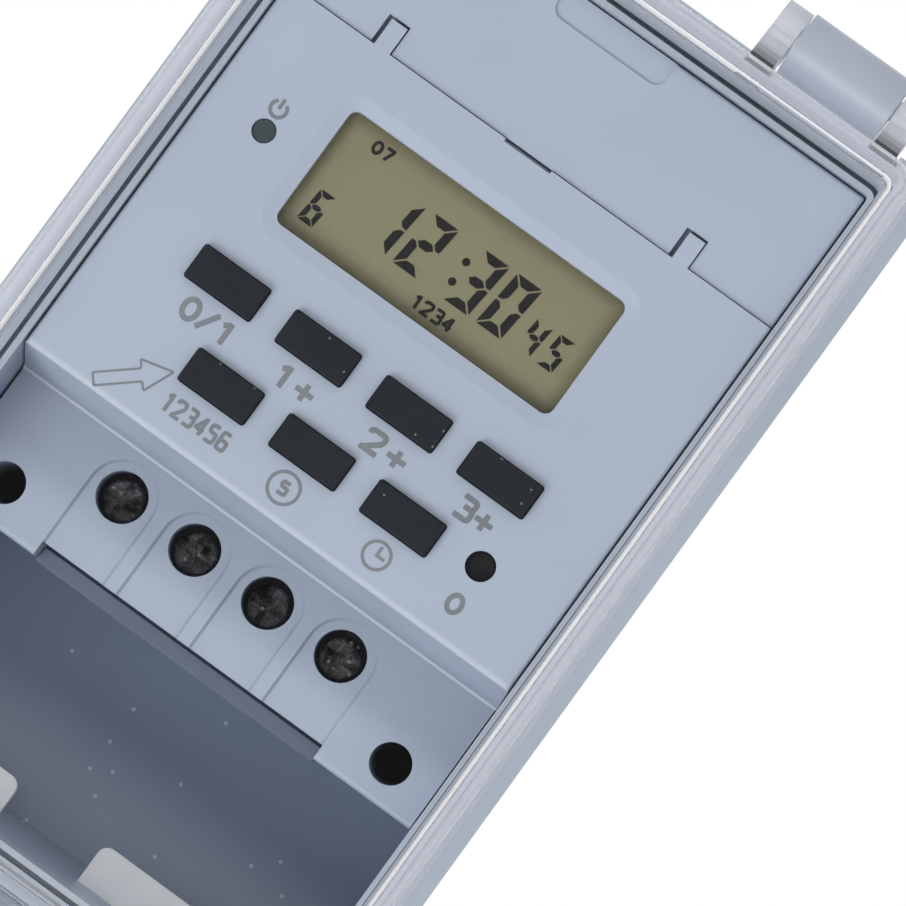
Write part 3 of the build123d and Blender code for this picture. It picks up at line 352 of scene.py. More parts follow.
def make_moulded_group():
    """Moulded plastic: two tones mixed by slow noise, and a fine grain for bump and roughness."""
    group, given, result = new_group(
        "moulded_skin",
        [
            ("Vector", "NodeSocketVector", None),
            ("Tone A", "NodeSocketColor", (0.5, 0.5, 0.5, 1)),
            ("Tone B", "NodeSocketColor", (0.5, 0.5, 0.5, 1)),
            ("Mottle scale", "NodeSocketFloat", 60.0),
            ("Grain scale", "NodeSocketFloat", 6000.0),
            ("Roughness low", "NodeSocketFloat", 0.3),
            ("Roughness high", "NodeSocketFloat", 0.5),
        ],
        [("Color", "NodeSocketColor"), ("Roughness", "NodeSocketFloat"), ("Height", "NodeSocketFloat")],
    )
    mottle = noise(group, given["Vector"], "slow mottle", detail=3.0)
    wire(group, given["Mottle scale"], mottle.inputs["Scale"])
    grain = noise(group, given["Vector"], "fine grain")
    wire(group, given["Grain scale"], grain.inputs["Scale"])
    tone = add_node(group, "ShaderNodeMix", "tones", data_type="RGBA")
    wire(group, remap(group, mottle.outputs["Fac"], "spread", 0.35, 0.65), tone.inputs["Factor"])
    wire(group, given["Tone A"], tone.inputs["A"])
    wire(group, given["Tone B"], tone.inputs["B"])
    rough = remap(group, grain.outputs["Fac"], "roughness", 0.3, 0.7)
    wire(group, given["Roughness low"], rough.node.inputs["To Min"])
    wire(group, given["Roughness high"], rough.node.inputs["To Max"])
    wire(group, tone.outputs["Result"], result["Color"])
    wire(group, rough, result["Roughness"])
    wire(group, grain.outputs["Fac"], result["Height"])


def make_dust_group():
    """Dust: a speck stands in some cells of a Voronoi pattern, where the distance to its point is small."""
    group, given, result = new_group(
        "dust_specks",
        [
            ("Vector", "NodeSocketVector", None),
            ("Cells", "NodeSocketFloat", 500.0),
            ("Size", "NodeSocketFloat", 0.12),
            ("Share", "NodeSocketFloat", 0.15),
        ],
        [("Mask", "NodeSocketFloat")],
    )
    parts = separate(group, given["Vector"])
    flat = add_node(group, "ShaderNodeCombineXYZ", "across and up")
    wire(group, parts["X"], flat.inputs["X"])
    wire(group, parts["Z"], flat.inputs["Y"])
    cells = add_node(group, "ShaderNodeTexVoronoi", "dust cells", voronoi_dimensions="2D")
    wire(group, flat.outputs["Vector"], cells.inputs["Vector"])
    wire(group, given["Cells"], cells.inputs["Scale"])
    number = add_node(group, "ShaderNodeSeparateColor", "cell's number")
    wire(group, cells.outputs["Color"], number.inputs["Color"])
    near = pair(group, "LESS_THAN", cells.outputs["Distance"], given["Size"])
    some = pair(group, "LESS_THAN", number.outputs["Red"], given["Share"])
    wire(group, product(group, near, some), result["Mask"])


def group_node(tree, name, place, values):
    """A shared group placed in a material on the given coordinates, with its own values."""
    node = add_node(tree, "ShaderNodeGroup", name, node_tree=GROUPS[name])
    wire(tree, place, node.inputs["Vector"])
    set_inputs(node, values)
    return node.outputs


def start_material(name):
    """A new material, its tree, its Principled shader, its Object coordinates and its Surface input."""
    material = bpy.data.materials.new(name)
    material.use_nodes = True
    tree = material.node_tree
    tree.nodes.clear()
    shader = add_node(tree, "ShaderNodeBsdfPrincipled", name)
    surface = add_node(tree, "ShaderNodeOutputMaterial").inputs["Surface"]
    wire(tree, shader.outputs["BSDF"], surface)
    coords = add_node(tree, "ShaderNodeTexCoord")
    return material, tree, shader, coords.outputs["Object"], surface


def tint(color, factor):
    """A colour made lighter or darker by a factor, with full alpha."""
    return tuple(min(1.0, channel * factor) for channel in color[:3]) + (1.0,)


def skin_of(tree, place, color, rough, tones, mottle, grain):
    """The moulded skin in a material: tones is how far its two tones lie from the colour."""
    return group_node(tree, "moulded_skin", place, {
        "Tone A": tint(color, 1 - tones), "Tone B": tint(color, 1 + tones), "Mottle scale": mottle,
        "Grain scale": grain, "Roughness low": rough[0], "Roughness high": rough[1],
    })


def moulded_material(name, color, rough, grain=6000.0, depth=0.004, mottle=60.0, tones=0.03,
                     dust=None, metallic=0.0, coat=0.0, specular=0.5, inside=None, painted_light=()):
    """A moulded or cast surface with mottle, grain and, where asked, dust specks.

    Dust is the number of cells in a metre, the size and share of the specks, and their colour. Where
    inside gives a box, the surface within it takes that box's own colour, a painted shade of a deep hollow,
    and dust lies only on its floor. Each box of painted light has its low and high corner, the width of its
    soft limits and its colour, a painted shade or a painted highlight.
    """
    material, tree, shader, place, _surface = start_material(name)
    skin = skin_of(tree, place, color, rough, tones, mottle, grain)
    tone = skin["Color"]
    if inside:
        within = box_mask(tree, place, inside["low"], inside["high"])
        tone = overlay(tree, within, tone, inside["color"], "colour inside")
    for low, high, soft, painted_color in painted_light:
        tone = overlay(tree, box_mask(tree, place, low, high, soft), tone, painted_color, "patch")
    if dust:
        cells, size, share, dust_color = dust
        mask = group_node(tree, "dust_specks", place, {"Cells": cells, "Size": size, "Share": share})["Mask"]
        if inside:
            start = inside["dust_from"]
            floor = beyond(tree, separate(tree, place)["Y"], start - 0.4, start, "floor")
            mask = product(tree, product(tree, mask, within), floor)
        tone = overlay(tree, mask, tone, dust_color, "dust over the skin")
    wire(tree, tone, shader.inputs["Base Color"])
    wire(tree, skin["Roughness"], shader.inputs["Roughness"])
    bump = add_node(tree, "ShaderNodeBump", "grain relief")
    set_inputs(bump, {"Strength": 0.4, "Distance": depth * MM})
    wire(tree, skin["Height"], bump.inputs["Height"])
    wire(tree, bump.outputs["Normal"], shader.inputs["Normal"])
    set_inputs(shader, {"Metallic": metallic, "Coat Weight": coat, "Specular IOR Level": specular})
    return material


def milky_share(tree, body, place, rough, milky):
    """The clear shader's walls and ears with their share of white, its pockets of shade, and its roughness.

    Walls lie beyond milky's limits at the long sides and the top, ears beyond its upper limit. Pockets are
    boxes in which the plastic takes a share of painted shade, a dark diffuse colour where the ears' feet
    lie in shadow.
    """
    parts = separate(tree, place)
    side = beyond(tree, absolute(tree, parts["X"]), *milky["side"], "long sides")
    top = beyond(tree, parts["Z"], *milky["top"], "top wall")
    ear = beyond(tree, parts["Z"], *milky["ear"], "ears")
    wall = larger(tree, side, top)
    white = larger(tree, remap(tree, wall, "share of white in the walls", high=milky["wall_share"]),
                   remap(tree, ear, "share of white in the ears", high=milky["ear_share"]))
    duller = add_node(tree, "ShaderNodeMath", "duller walls", operation="MULTIPLY_ADD")
    duller.inputs[1].default_value = milky["rough"]
    wire(tree, wall, duller.inputs[0])
    wire(tree, rough, duller.inputs[2])
    chalk = plain_shader(tree, "ShaderNodeBsdfDiffuse", milky["color"], "milky share")
    body = shader_between(tree, white, body, chalk)
    # Painted shade: a dark diffuse colour mixed into the clear plastic within each pocket box
    shade = plain_shader(tree, "ShaderNodeBsdfDiffuse", milky["painted_shade_color"], "shaded pocket")
    for low, high in milky["pockets"]:
        inside = box_mask(tree, place, low, high, milky["pocket_soft"])
        share = remap(tree, inside, "share of shade", high=milky["painted_shade_share"])
        body = shader_between(tree, share, body, shade)
    return body, duller.outputs[0]


def clear_material(name, color, rough, ior, milky=None):
    """Clear plastic: light for other surfaces passes straight through, while the eye sees it bend."""
    material, tree, shader, place, surface = start_material(name)
    haze = noise(tree, place, "faint haze")
    haze.inputs["Scale"].default_value = 90.0
    dull = remap(tree, haze.outputs["Fac"], "haze as roughness", low=rough[0], high=rough[1])
    body = shader.outputs["BSDF"]
    if milky:
        body, dull = milky_share(tree, body, place, dull, milky)
    wire(tree, dull, shader.inputs["Roughness"])
    set_inputs(shader, {"Base Color": color, "Transmission Weight": 1.0, "IOR": ior})
    straight = plain_shader(tree, "ShaderNodeBsdfTransparent", color, "straight through")
    path = add_node(tree, "ShaderNodeLightPath")
    unseen = larger(tree, path.outputs["Is Shadow Ray"], path.outputs["Is Diffuse Ray"])
    wire(tree, shader_between(tree, unseen, body, straight), surface)
    return material


def dress(slot, material):
    """Gives a material to every CAD node that the record puts in a slot."""
    for row in frame["record"]["subparts"]:
        if row["material_slot"] == slot:
            node = frame["nodes"][row["node"]]
            node.data.materials.clear()
            node.data.materials.append(material)


def ear_feet():
    """Where the cover's ears stand: the two X values of each, and the Y of the rim that they rest on."""
    for pin in ("hinge_pin_left", "hinge_pin_right"):
        low, high = box_mm(pin)
        rim = (low[1] + high[1]) / 2
        yield low[0], low[0] + EAR_THICK, rim
        yield high[0] - EAR_THICK, high[0], rim


# Settings

class FinishSettings(bpy.types.PropertyGroup):
    """Colours of the main plastics."""

    case_color: bpy.props.FloatVectorProperty(
        name="Case", description="Colour of the outer case", default=(0.37, 0.415, 0.495), subtype="COLOR",
        min=0, max=1,
    )
    module_color: bpy.props.FloatVectorProperty(
        name="Module", description="Colour of the panel and deck", default=(0.405, 0.468, 0.575),
        subtype="COLOR", min=0, max=1,
    )
    key_color: bpy.props.FloatVectorProperty(
        name="Keys", description="Colour of the key caps", default=(0.010, 0.014, 0.019), subtype="COLOR",
        min=0, max=1,
    )
    print_color: bpy.props.FloatVectorProperty(
        name="Printing", description="Colour of the printed marks", default=(0.195, 0.212, 0.24),
        subtype="COLOR", min=0, max=1,
    )


class DisplaySettings(bpy.types.PropertyGroup):
    """Sizes and colours of the display, in millimetres where they are lengths."""

    glass_color: bpy.props.FloatVectorProperty(
        name="Glass", description="Colour of the display's field", default=(0.276, 0.262, 0.168),
        subtype="COLOR", min=0, max=1,
    )
    digit_width: bpy.props.FloatProperty(
        name="Digit width", description="Width of a large digit in mm", default=3.3, min=0.5, max=10,
    )
    digit_height: bpy.props.FloatProperty(
        name="Digit height", description="Height of a large digit in mm", default=6.85, min=1, max=14,
    )
    segment: bpy.props.FloatProperty(
        name="Segment", description="Thickness of a large digit's segments in mm", default=1.02, min=0.1,
        max=3,
    )
    slant: bpy.props.FloatProperty(
        name="Slant", description="Lean of the digits", default=math.radians(5.4), subtype="ANGLE",
        unit="ROTATION",
    )


class StageSettings(bpy.types.PropertyGroup):
    """Camera and lamps."""

    lens: bpy.props.FloatProperty(
        name="Lens", description="Focal length of the camera in mm", default=179.94, min=20, max=400,
    )
    roll: bpy.props.FloatProperty(
        name="Roll", description="Turn of the camera about its line of sight", default=math.radians(35.988),
        subtype="ANGLE", unit="ROTATION",
    )
    key_power: bpy.props.FloatProperty(
        name="Key lamp", description="Power of the low front lamp in watts", default=5.2, min=0, max=100,
    )
    fill_power: bpy.props.FloatProperty(
        name="Fill lamp", description="Power of the high side lamp in watts", default=0.1, min=0, max=100,
    )
    ambient: bpy.props.FloatProperty(
        name="Ambient", description="Strength of the light from all round", default=0.8, min=0, max=2,
    )


# Pieces

class TIMER_OT_shared_groups(bpy.types.Operator):
    """Make the node groups that several finishes share."""

    bl_idname = "timer.shared_groups"
    bl_label = "Shared node groups"

    def execute(self, context):
        make_moulded_group()
        make_dust_group()
        return {"FINISHED"}


class TIMER_OT_case(bpy.types.Operator):
    """Finish the outer case and the rail clip."""

    bl_idname = "timer.case"
    bl_label = "Case"

    def execute(self, context):
        # Painted shade: the deep wiring bay takes a darker, bluer colour than the rest of the case; dust
        # specks lie on its floor
        bay_painted_shade = {"low": (-33, -9, 2), "high": (33, 26, 45), "color": (0.27, 0.35, 0.49, 1), "dust_from": 21}
        # Painted shade in the rim's notches under the cover's ears
        painted_notch_shade = [
            ((start - 0.4, rim + 0.1, 117.0), (end + 0.4, rim + 2.9, 120.2), 0.1, PAINTED_GAP_SHADE)
            for start, end, rim in ear_feet()
        ]
        case = moulded_material(
            "case_plastic", context.scene.timer_finish.case_color, (0.28, 0.42), inside=bay_painted_shade, painted_light=painted_notch_shade,
            dust=(420.0, 0.10, 0.07, (0.62, 0.68, 0.76, 1)),
        )
        dress("case_grey", case)
        dress("clip_plastic", moulded_material("clip_nylon", (0.03, 0.032, 0.038), (0.4, 0.55)))
        return {"FINISHED"}


class TIMER_OT_module(bpy.types.Operator):
    """Finish the panel, deck, battery door and terminal block."""

    bl_idname = "timer.module"
    bl_label = "Module"

    def execute(self, context):
        # Painted shade: the recessed deck below the step is darker than the panel
        deck = ((-45, PANEL_Y + 5, 36), (45, PANEL_Y + 30, 52), 5, (0.315, 0.368, 0.46, 1))
        # Painted highlights: light lines along the bead at the foot of the step's slope and along the crest
        # of the panel's lower edge
        painted_bead_highlight = ((-33, PANEL_Y + 5, 47.15), (33, PANEL_Y + 12, 47.5), 0.08, (0.56, 0.60, 0.68, 1))
        painted_crest_highlight = ((-33, PANEL_Y - 1, 49.45), (33, PANEL_Y + 4, 50.45), 0.4, (0.50, 0.555, 0.65, 1))
        module = moulded_material(
            "module_plastic", context.scene.timer_finish.module_color, (0.38, 0.52), tones=0.02,
            painted_light=(deck, painted_bead_highlight, painted_crest_highlight),
        )
        dress("module_grey", module)
        carrier = moulded_material("carrier_plastic", (0.15, 0.18, 0.255), (0.4, 0.55), specular=0.3)
        dress("carrier_plastic", carrier)
        return {"FINISHED"}


class TIMER_OT_cover(bpy.types.Operator):
    """Finish the clear cover and the hinge pins."""

    bl_idname = "timer.cover"
    bl_label = "Clear cover"

    def execute(self, context):
        milky = {
            "side": (33.2, 34.0), "top": (115.8, 116.8), "ear": (120.0, 120.6),
            "wall_share": 0.26, "ear_share": 0.62, "rough": 0.01, "color": (0.60, 0.62, 0.69, 1),
            # Painted shade at the feet of the ears, in the cover's own plastic, so it moves with the cover
            # when it opens
            "pockets": [
                ((start - 0.05, rim - 8, 117.2), (end + 0.05, rim + 3, 119.2))
                for start, end, rim in ear_feet()
            ],
            "pocket_soft": 0.12, "painted_shade_share": 0.72, "painted_shade_color": PAINTED_GAP_SHADE,
        }
        cover = clear_material("cover_polycarbonate", (0.98, 0.98, 0.98, 1), (0.0, 0.02), 1.5, milky)
        dress("clear_plastic", cover)
        dress("pin_plastic", moulded_material("pin_nylon", (0.50, 0.53, 0.57), (0.35, 0.5)))
        return {"FINISHED"}


def segment_outlines(width, height, thick):
    """Outlines (x, z) of the seven segments a to g of a digit with its lower left corner at the origin.

    Ends are cut along the diagonals of the corners, with a small gap between neighbours.
    """
    gap, mid, half = 0.14 * thick, height / 2, thick / 2
    w, h, t = width, height, thick
    inner_low, inner_high = mid - half - gap, mid + half + gap
    return {
        "a": [(gap, h), (w - gap, h), (w - t - gap, h - t), (t + gap, h - t)],
        "b": [(w, h - gap), (w, mid + gap), (w - half, mid + gap), (w - t, inner_high), (w - t, h - t - gap)],
        "c": [(w, gap), (w - t, t + gap), (w - t, inner_low), (w - half, mid - gap), (w, mid - gap)],
        "d": [(gap, 0), (t + gap, t), (w - t - gap, t), (w - gap, 0)],
        "e": [(0, gap), (0, mid - gap), (half, mid - gap), (t, inner_low), (t, t + gap)],
        "f": [(0, h - gap), (t, h - t - gap), (t, inner_high), (half, mid + gap), (0, mid + gap)],
        "g": [
            (half + gap, mid), (t + gap, mid + half), (w - t - gap, mid + half), (w - half - gap, mid),
            (w - t - gap, mid - half), (t + gap, mid - half),
        ],
    }


LIT = {
    "0": "abcdef", "1": "bc", "2": "abged", "3": "abgcd", "4": "fgbc", "5": "afgcd", "6": "afgedc",
    "7": "abc", "8": "abcdefg", "9": "abcdfg",
}


def digit_shells(text, x, z, width, height, thick, pitch, lean, y_front, depth):
    """Closed plates for the lit segments of a row of digits that leans to the right."""
    shells = []
    outlines = segment_outlines(width, height, thick)
    for index, sign in enumerate(text):
        for letter in LIT[sign]:
            outline = np.array(outlines[letter])
            outline[:, 0] += outline[:, 1] * math.tan(lean) + x + index * pitch
            outline[:, 1] += z
            shells.append(plate(outline, y_front, depth))
    return shells


# The display's marks in mm, with heights for a display whose middle is at MARKS_MIDDLE_Z
MARKS_MIDDLE_Z = 82.85
LARGE_DIGITS = (("12", -9.55, 79.35), ("30", 1.42, 79.35))
LARGE_PITCH = 4.3
SMALL_DIGITS = (("45", 10.6, 79.6), ("6", -16.25, 77.25))
SMALL_WIDTH, SMALL_HEIGHT, SMALL_SEGMENT, SMALL_PITCH = 1.98, 4.0, 0.62, 2.9
COLON_DOTS, COLON_RADIUS = ((1.23, 81.37), (1.23, 83.92)), 0.46
TINY_FIGURES = (("07", -14.1, 87.6, 1.4), ("1234", -1.05, 76.65, 1.55))
TINY_WIDTH, TINY_PITCH, TINY_LINE = 1.04, 1.36, 0.38


class TIMER_OT_display(bpy.types.Operator):
    """Make the display glass with its marks, and finish the window."""

    bl_idname = "timer.display"
    bl_label = "Display"

    def execute(self, context):
        sizes = context.scene.timer_display
        low, high = GLASS_BOX
        clearance, mark_depth = 0.06, 0.03
        front = low[1] + clearance
        outline = rounded_rectangle(high[0] - low[0], high[2] - low[2], 0.2)
        outline[:, 1] += DISPLAY_Z
        field = plate(outline, front, high[1] - front, 0.1)
        glass = make_piece("display_field", [field], "housing", self.field_material(sizes))
        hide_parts("display_glass")
        shells = self.mark_shells(sizes, front - mark_depth, mark_depth)
        ink = moulded_material("segment_ink", (0.005, 0.005, 0.007), (0.3, 0.45), grain=9000.0)
        make_piece("display_marks", shells, "housing", ink)
        window = clear_material("window_acrylic", (0.97, 0.97, 0.95, 1), (0.02, 0.06), 1.45)
        dress("window_plastic", window)
        return {"FINISHED"}

    def field_material(self, sizes):
        """The display's field, darker towards its rim."""
        material, tree, shader, place, _surface = start_material("display_field")
        skin = skin_of(tree, place, sizes.glass_color, (0.25, 0.4), tones=0.015, mottle=120.0, grain=5000.0)
        rim = self.edge_mask(tree, place)
        tone = overlay(tree, rim, skin["Color"], (0.185, 0.172, 0.098, 1), "darker rim")
        wire(tree, tone, shader.inputs["Base Color"])
        wire(tree, skin["Roughness"], shader.inputs["Roughness"])
        return material

    def edge_mask(self, tree, place):
        """One at the display's rim, falling to nought inside: the larger of the distances from the middle."""
        half_width, half_height, fade, past = 18.0, 7.35, 1.8, 0.3
        parts = separate(tree, place)
        masks = []
        for axis, centre, half in (("X", 0.0, half_width), ("Z", DISPLAY_Z, half_height)):
            away = add_node(tree, "ShaderNodeMath", "from the middle", operation="SUBTRACT")
            away.inputs[1].default_value = centre * MM
            wire(tree, parts[axis], away.inputs[0])
            distance = absolute(tree, away.outputs[0])
            masks.append(beyond(tree, distance, half - fade, half + past, "rim"))
        return larger(tree, *masks)

    def mark_shells(self, sizes, y, depth):
        """Closed shells of all the display's marks."""
        rise = DISPLAY_Z - MARKS_MIDDLE_Z
        shells = []
        for text, x, z in LARGE_DIGITS:
            shells += digit_shells(text, x, z + rise, sizes.digit_width, sizes.digit_height, sizes.segment,
                                   LARGE_PITCH, sizes.slant, y, depth)
        for centre in COLON_DOTS:
            shells.append(plate(circle(COLON_RADIUS, 24) + centre, y, depth))
        for text, x, z in SMALL_DIGITS:
            shells += digit_shells(text, x, z + rise, SMALL_WIDTH, SMALL_HEIGHT, SMALL_SEGMENT, SMALL_PITCH,
                                   sizes.slant, y, depth)
        for text, x, z, height in TINY_FIGURES:
            shells += figure_shells(text, x, z + rise, TINY_WIDTH, height, TINY_PITCH, TINY_LINE, y, depth)
        return shells


FIGURES = {
    "1": [[(0.12, 0.76), (0.36, 0.95)], [(0.36, 1.02), (0.36, 0.0)]],
    "2": [[(0.03, 0.74), (0.03, 0.95), (0.56, 0.95), (0.56, 0.62), (0.06, 0.06)],
          [(-0.04, 0.05), (0.58, 0.05)]],
    "3": [[(0.03, 0.95), (0.55, 0.95), (0.55, 0.54), (0.2, 0.54)],
          [(0.2, 0.54), (0.57, 0.54), (0.57, 0.05), (0.03, 0.05)]],
    "4": [[(0.43, 0.0), (0.43, 1.02)], [(0.43, 0.95), (0.03, 0.3)], [(-0.03, 0.3), (0.6, 0.3)]],
    "5": [[(0.54, 0.95), (0.07, 0.95), (0.07, 0.56), (0.56, 0.56), (0.56, 0.05), (0.03, 0.05)]],
    "6": [[(0.52, 0.95), (0.05, 0.95), (0.05, 0.05), (0.56, 0.05), (0.56, 0.4)],
          [(0.56, 0.25), (0.56, 0.52), (0.05, 0.52)]],
    "7": [[(0.02, 0.95), (0.62, 0.95)], [(0.56, 0.95), (0.22, 0.0)]],
    "+": [[(-0.03, 0.45), (0.63, 0.45)], [(0.3, 0.06), (0.3, 0.84)]],
    "/": [[(0.05, 0.0), (0.55, 1.0)]],
}
CELL_WIDTH = 0.6
FIGURE_ROUND = 0.13
HAIR = 0.004


def figure_shells(text, x, z, width, height, pitch, line, y_front, depth):
    """Closed bands for a row of plain figures.

    A figure is one to three paths on a cell 0.6 wide and 1 high, with rounded corners; nought is an ellipse.
    Each further path stands a hair in front of the one before, so that crossing bands share no plane.
    """
    shells = []
    for index, sign in enumerate(text):
        corner = np.array([x + index * pitch, z])
        scale = np.array([width / CELL_WIDTH, height])
        if sign == "0":
            loop = circle(1.0, 40) * (0.26, 0.45) + (0.3, 0.5)
            shells.append(stroke(loop * scale + corner, line, y_front, depth, closed=True))
        else:
            for order, corners in enumerate(FIGURES[sign]):
                path = fillet_path(corners, FIGURE_ROUND) * scale + corner
                shells.append(stroke(path, line, y_front - order * HAIR, depth))
    return shells


# Printing in mm. A row of figures is its text, x, z, width, height, pitch and line.
PANEL_FIGURES = (
    ("0/1", -20.35, 61.4, 1.95, 2.5, 2.2, 0.62),
    ("1+", -8.2, 61.4, 2.0, 2.5, 2.8, 0.62),
    ("2+", 3.65, 61.4, 2.1, 2.5, 2.95, 0.62),
    ("3+", 15.7, 61.4, 1.95, 2.5, 2.4, 0.62),
    ("123456", -16.0, 52.25, 1.08, 2.1, 1.44, 0.44),
    ("5", -0.72, 52.35, 1.05, 1.5, 1.05, 0.44),
    ("0", 20.75, 52.7, 1.75, 2.2, 1.75, 0.56),
)
RING_LINE = 0.38
RINGS = ((1.76, (-0.2, 53.1)), (1.52, (11.95, 53.1)))
CLOCK_HANDS = (((11.95, 54.2), (11.95, 52.95)), ((11.76, 53.1), (12.95, 53.1)))
POWER_RADIUS, POWER_CENTRE, POWER_TOP, POWER_LINE = 0.92, (-24.4, 85.35), (-24.4, 86.6), 0.42
ARROW_TAIL, ARROW_LINE, ARROW_ROUND = (-23.4, 50.6), 0.26, 0.22
ARROW_ALONG, ARROW_ASIDE = np.array([0.76, 0.65]), np.array([-0.65, 0.76])
ARROW = ((0, -0.7), (5.2, -0.7), (5.2, -1.7), (8.6, 0), (5.2, 1.7), (5.2, 0.7), (0, 0.7), (0, -0.7))


class TIMER_OT_printing(bpy.types.Operator):
    """Print plain numbers and signs under the keys and beside the indicator."""

    bl_idname = "timer.printing"
    bl_label = "Printing"

    def execute(self, context):
        depth = 0.015
        front = PANEL_Y - depth
        shells = []
        for row in PANEL_FIGURES:
            shells += figure_shells(*row, front, depth)
        for radius, centre in RINGS:
            shells.append(stroke(circle(1.0, 56) * radius + centre, RING_LINE, front, depth, closed=True))
        for order, hand in enumerate(CLOCK_HANDS):
            shells.append(stroke(hand, RING_LINE, front - order * HAIR, depth))
        # A bar in a broken ring above the indicator, and the outline of an arrow at the lower left
        angle = np.radians(np.linspace(125, 415, 40))
        broken = POWER_RADIUS * np.column_stack([np.cos(angle), np.sin(angle)])
        shells.append(stroke(broken + POWER_CENTRE, POWER_LINE, front, depth))
        shells.append(stroke((POWER_CENTRE, POWER_TOP), POWER_LINE, front, depth))
        arrow = [ARROW_ALONG * along + ARROW_ASIDE * aside + ARROW_TAIL for along, aside in ARROW]
        shells.append(stroke(fillet_path(arrow, ARROW_ROUND), ARROW_LINE, front, depth))
        ink = moulded_material("print_ink", context.scene.timer_finish.print_color, (0.5, 0.6), grain=8000.0,
                               tones=0.10)
        make_piece("panel_printing", shells, "housing", ink)
        return {"FINISHED"}


class TIMER_OT_keys(bpy.types.Operator):
    """Finish the keys, the reset button and the indicator."""

    bl_idname = "timer.keys"
    bl_label = "Keys"

    def execute(self, context):
        rubber = moulded_material(
            "key_rubber", context.scene.timer_finish.key_color, (0.55, 0.7), tones=0.12, specular=0.2,
            dust=(900.0, 0.10, 0.05, (0.25, 0.26, 0.28, 1)),
        )
        dress("key_rubber", rubber)
        reset = moulded_material("reset_plastic", (0.006, 0.007, 0.009), (0.5, 0.6), specular=0.2)
        dress("reset_plastic", reset)
        dress("led_plastic", moulded_material("led_lens", (0.055, 0.07, 0.08), (0.15, 0.25), coat=0.5))
        return {"FINISHED"}


class TIMER_OT_terminals(bpy.types.Operator):
    """Finish the terminal and fixing screws, clamps and bars."""

    bl_idname = "timer.terminals"
    bl_label = "Terminals"

    def execute(self, context):
        steel = moulded_material(
            "oiled_steel", (0.10, 0.10, 0.105), (0.16, 0.40), grain=2500.0, depth=0.03, tones=0.95,
            mottle=480.0, metallic=1.0, dust=(1100.0, 0.20, 0.10, (0.50, 0.47, 0.43, 1)),
        )
        dress("terminal_steel", steel)
        black = moulded_material("blackened_steel", (0.006, 0.0075, 0.010), (0.3, 0.45), tones=0.2,
                                 metallic=1.0)
        dress("fixing_steel", black)
        dark = moulded_material("dark_steel", (0.04, 0.04, 0.042), (0.25, 0.4), tones=0.2, metallic=1.0)
        dress("clamp_steel", dark)
        return {"FINISHED"}


class TIMER_OT_grommets(bpy.types.Operator):
    """Finish the soft cable grommets."""

    bl_idname = "timer.grommets"
    bl_label = "Cable grommets"

    def execute(self, context):
        soft = moulded_material("grommet_pvc", (0.95, 0.98, 1.0), (0.4, 0.55), tones=0.05, mottle=150.0)
        shader = next(node for node in soft.node_tree.nodes if node.type == "BSDF_PRINCIPLED")
        set_inputs(shader, {
            "Subsurface Weight": 0.35, "Subsurface Radius": (1.0, 1.1, 1.1), "Subsurface Scale": 2 * MM,
        })
        dress("grommet_plastic", soft)
        return {"FINISHED"}


class TIMER_OT_inside(bpy.types.Operator):
    """Finish the boards and the parts behind the panel."""

    bl_idname = "timer.inside"
    bl_label = "Inner parts"

    def execute(self, context):
        plain = {
            "frame_plastic": ((0.70, 0.70, 0.68), (0.4, 0.5), 0.0),
            "strip_rubber": ((0.40, 0.24, 0.24), (0.5, 0.6), 0.0),
            "board_laminate": ((0.03, 0.16, 0.06), (0.25, 0.4), 0.0),
            "switch_plastic": ((0.03, 0.03, 0.03), (0.4, 0.5), 0.0),
            "header_metal": ((0.05, 0.05, 0.05), (0.4, 0.5), 0.0),
            "relay_plastic": ((0.03, 0.08, 0.25), (0.25, 0.35), 0.0),
            "film_box": ((0.55, 0.40, 0.05), (0.25, 0.35), 0.0),
            "can_aluminium": ((0.03, 0.04, 0.10), (0.2, 0.3), 0.0),
            "varistor_coat": ((0.04, 0.15, 0.30), (0.5, 0.6), 0.0),
            "diode_glass": ((0.03, 0.03, 0.03), (0.3, 0.4), 0.0),
            "cell_sleeve": ((0.10, 0.35, 0.12), (0.25, 0.35), 0.0),
            "contact_metal": ((0.60, 0.60, 0.58), (0.2, 0.3), 1.0),
            "screw_zinc": ((0.60, 0.60, 0.58), (0.25, 0.4), 1.0),
        }
        for slot, (color, rough, metallic) in plain.items():
            dress(slot, moulded_material(slot + "_finish", color, rough, tones=0.06, metallic=metallic))
        return {"FINISHED"}


# Places of the lamps and the camera in mm, and sizes of the lamps in metres
AIM = Vector((0, -14, 68)) * MM
KEY_PLACE, KEY_SIZE = Vector((-238, -698, -550)) * MM, 0.55
FILL_PLACE, FILL_SIZE = Vector((330, -330, 330)) * MM, 0.35
CAMERA_PLACE = Vector((38.02, -491.92, 47.38)) * MM
CAMERA_AIM = Vector((12.05, -13.5, 66.64)) * MM
NEARLY_BLACK = 0.08


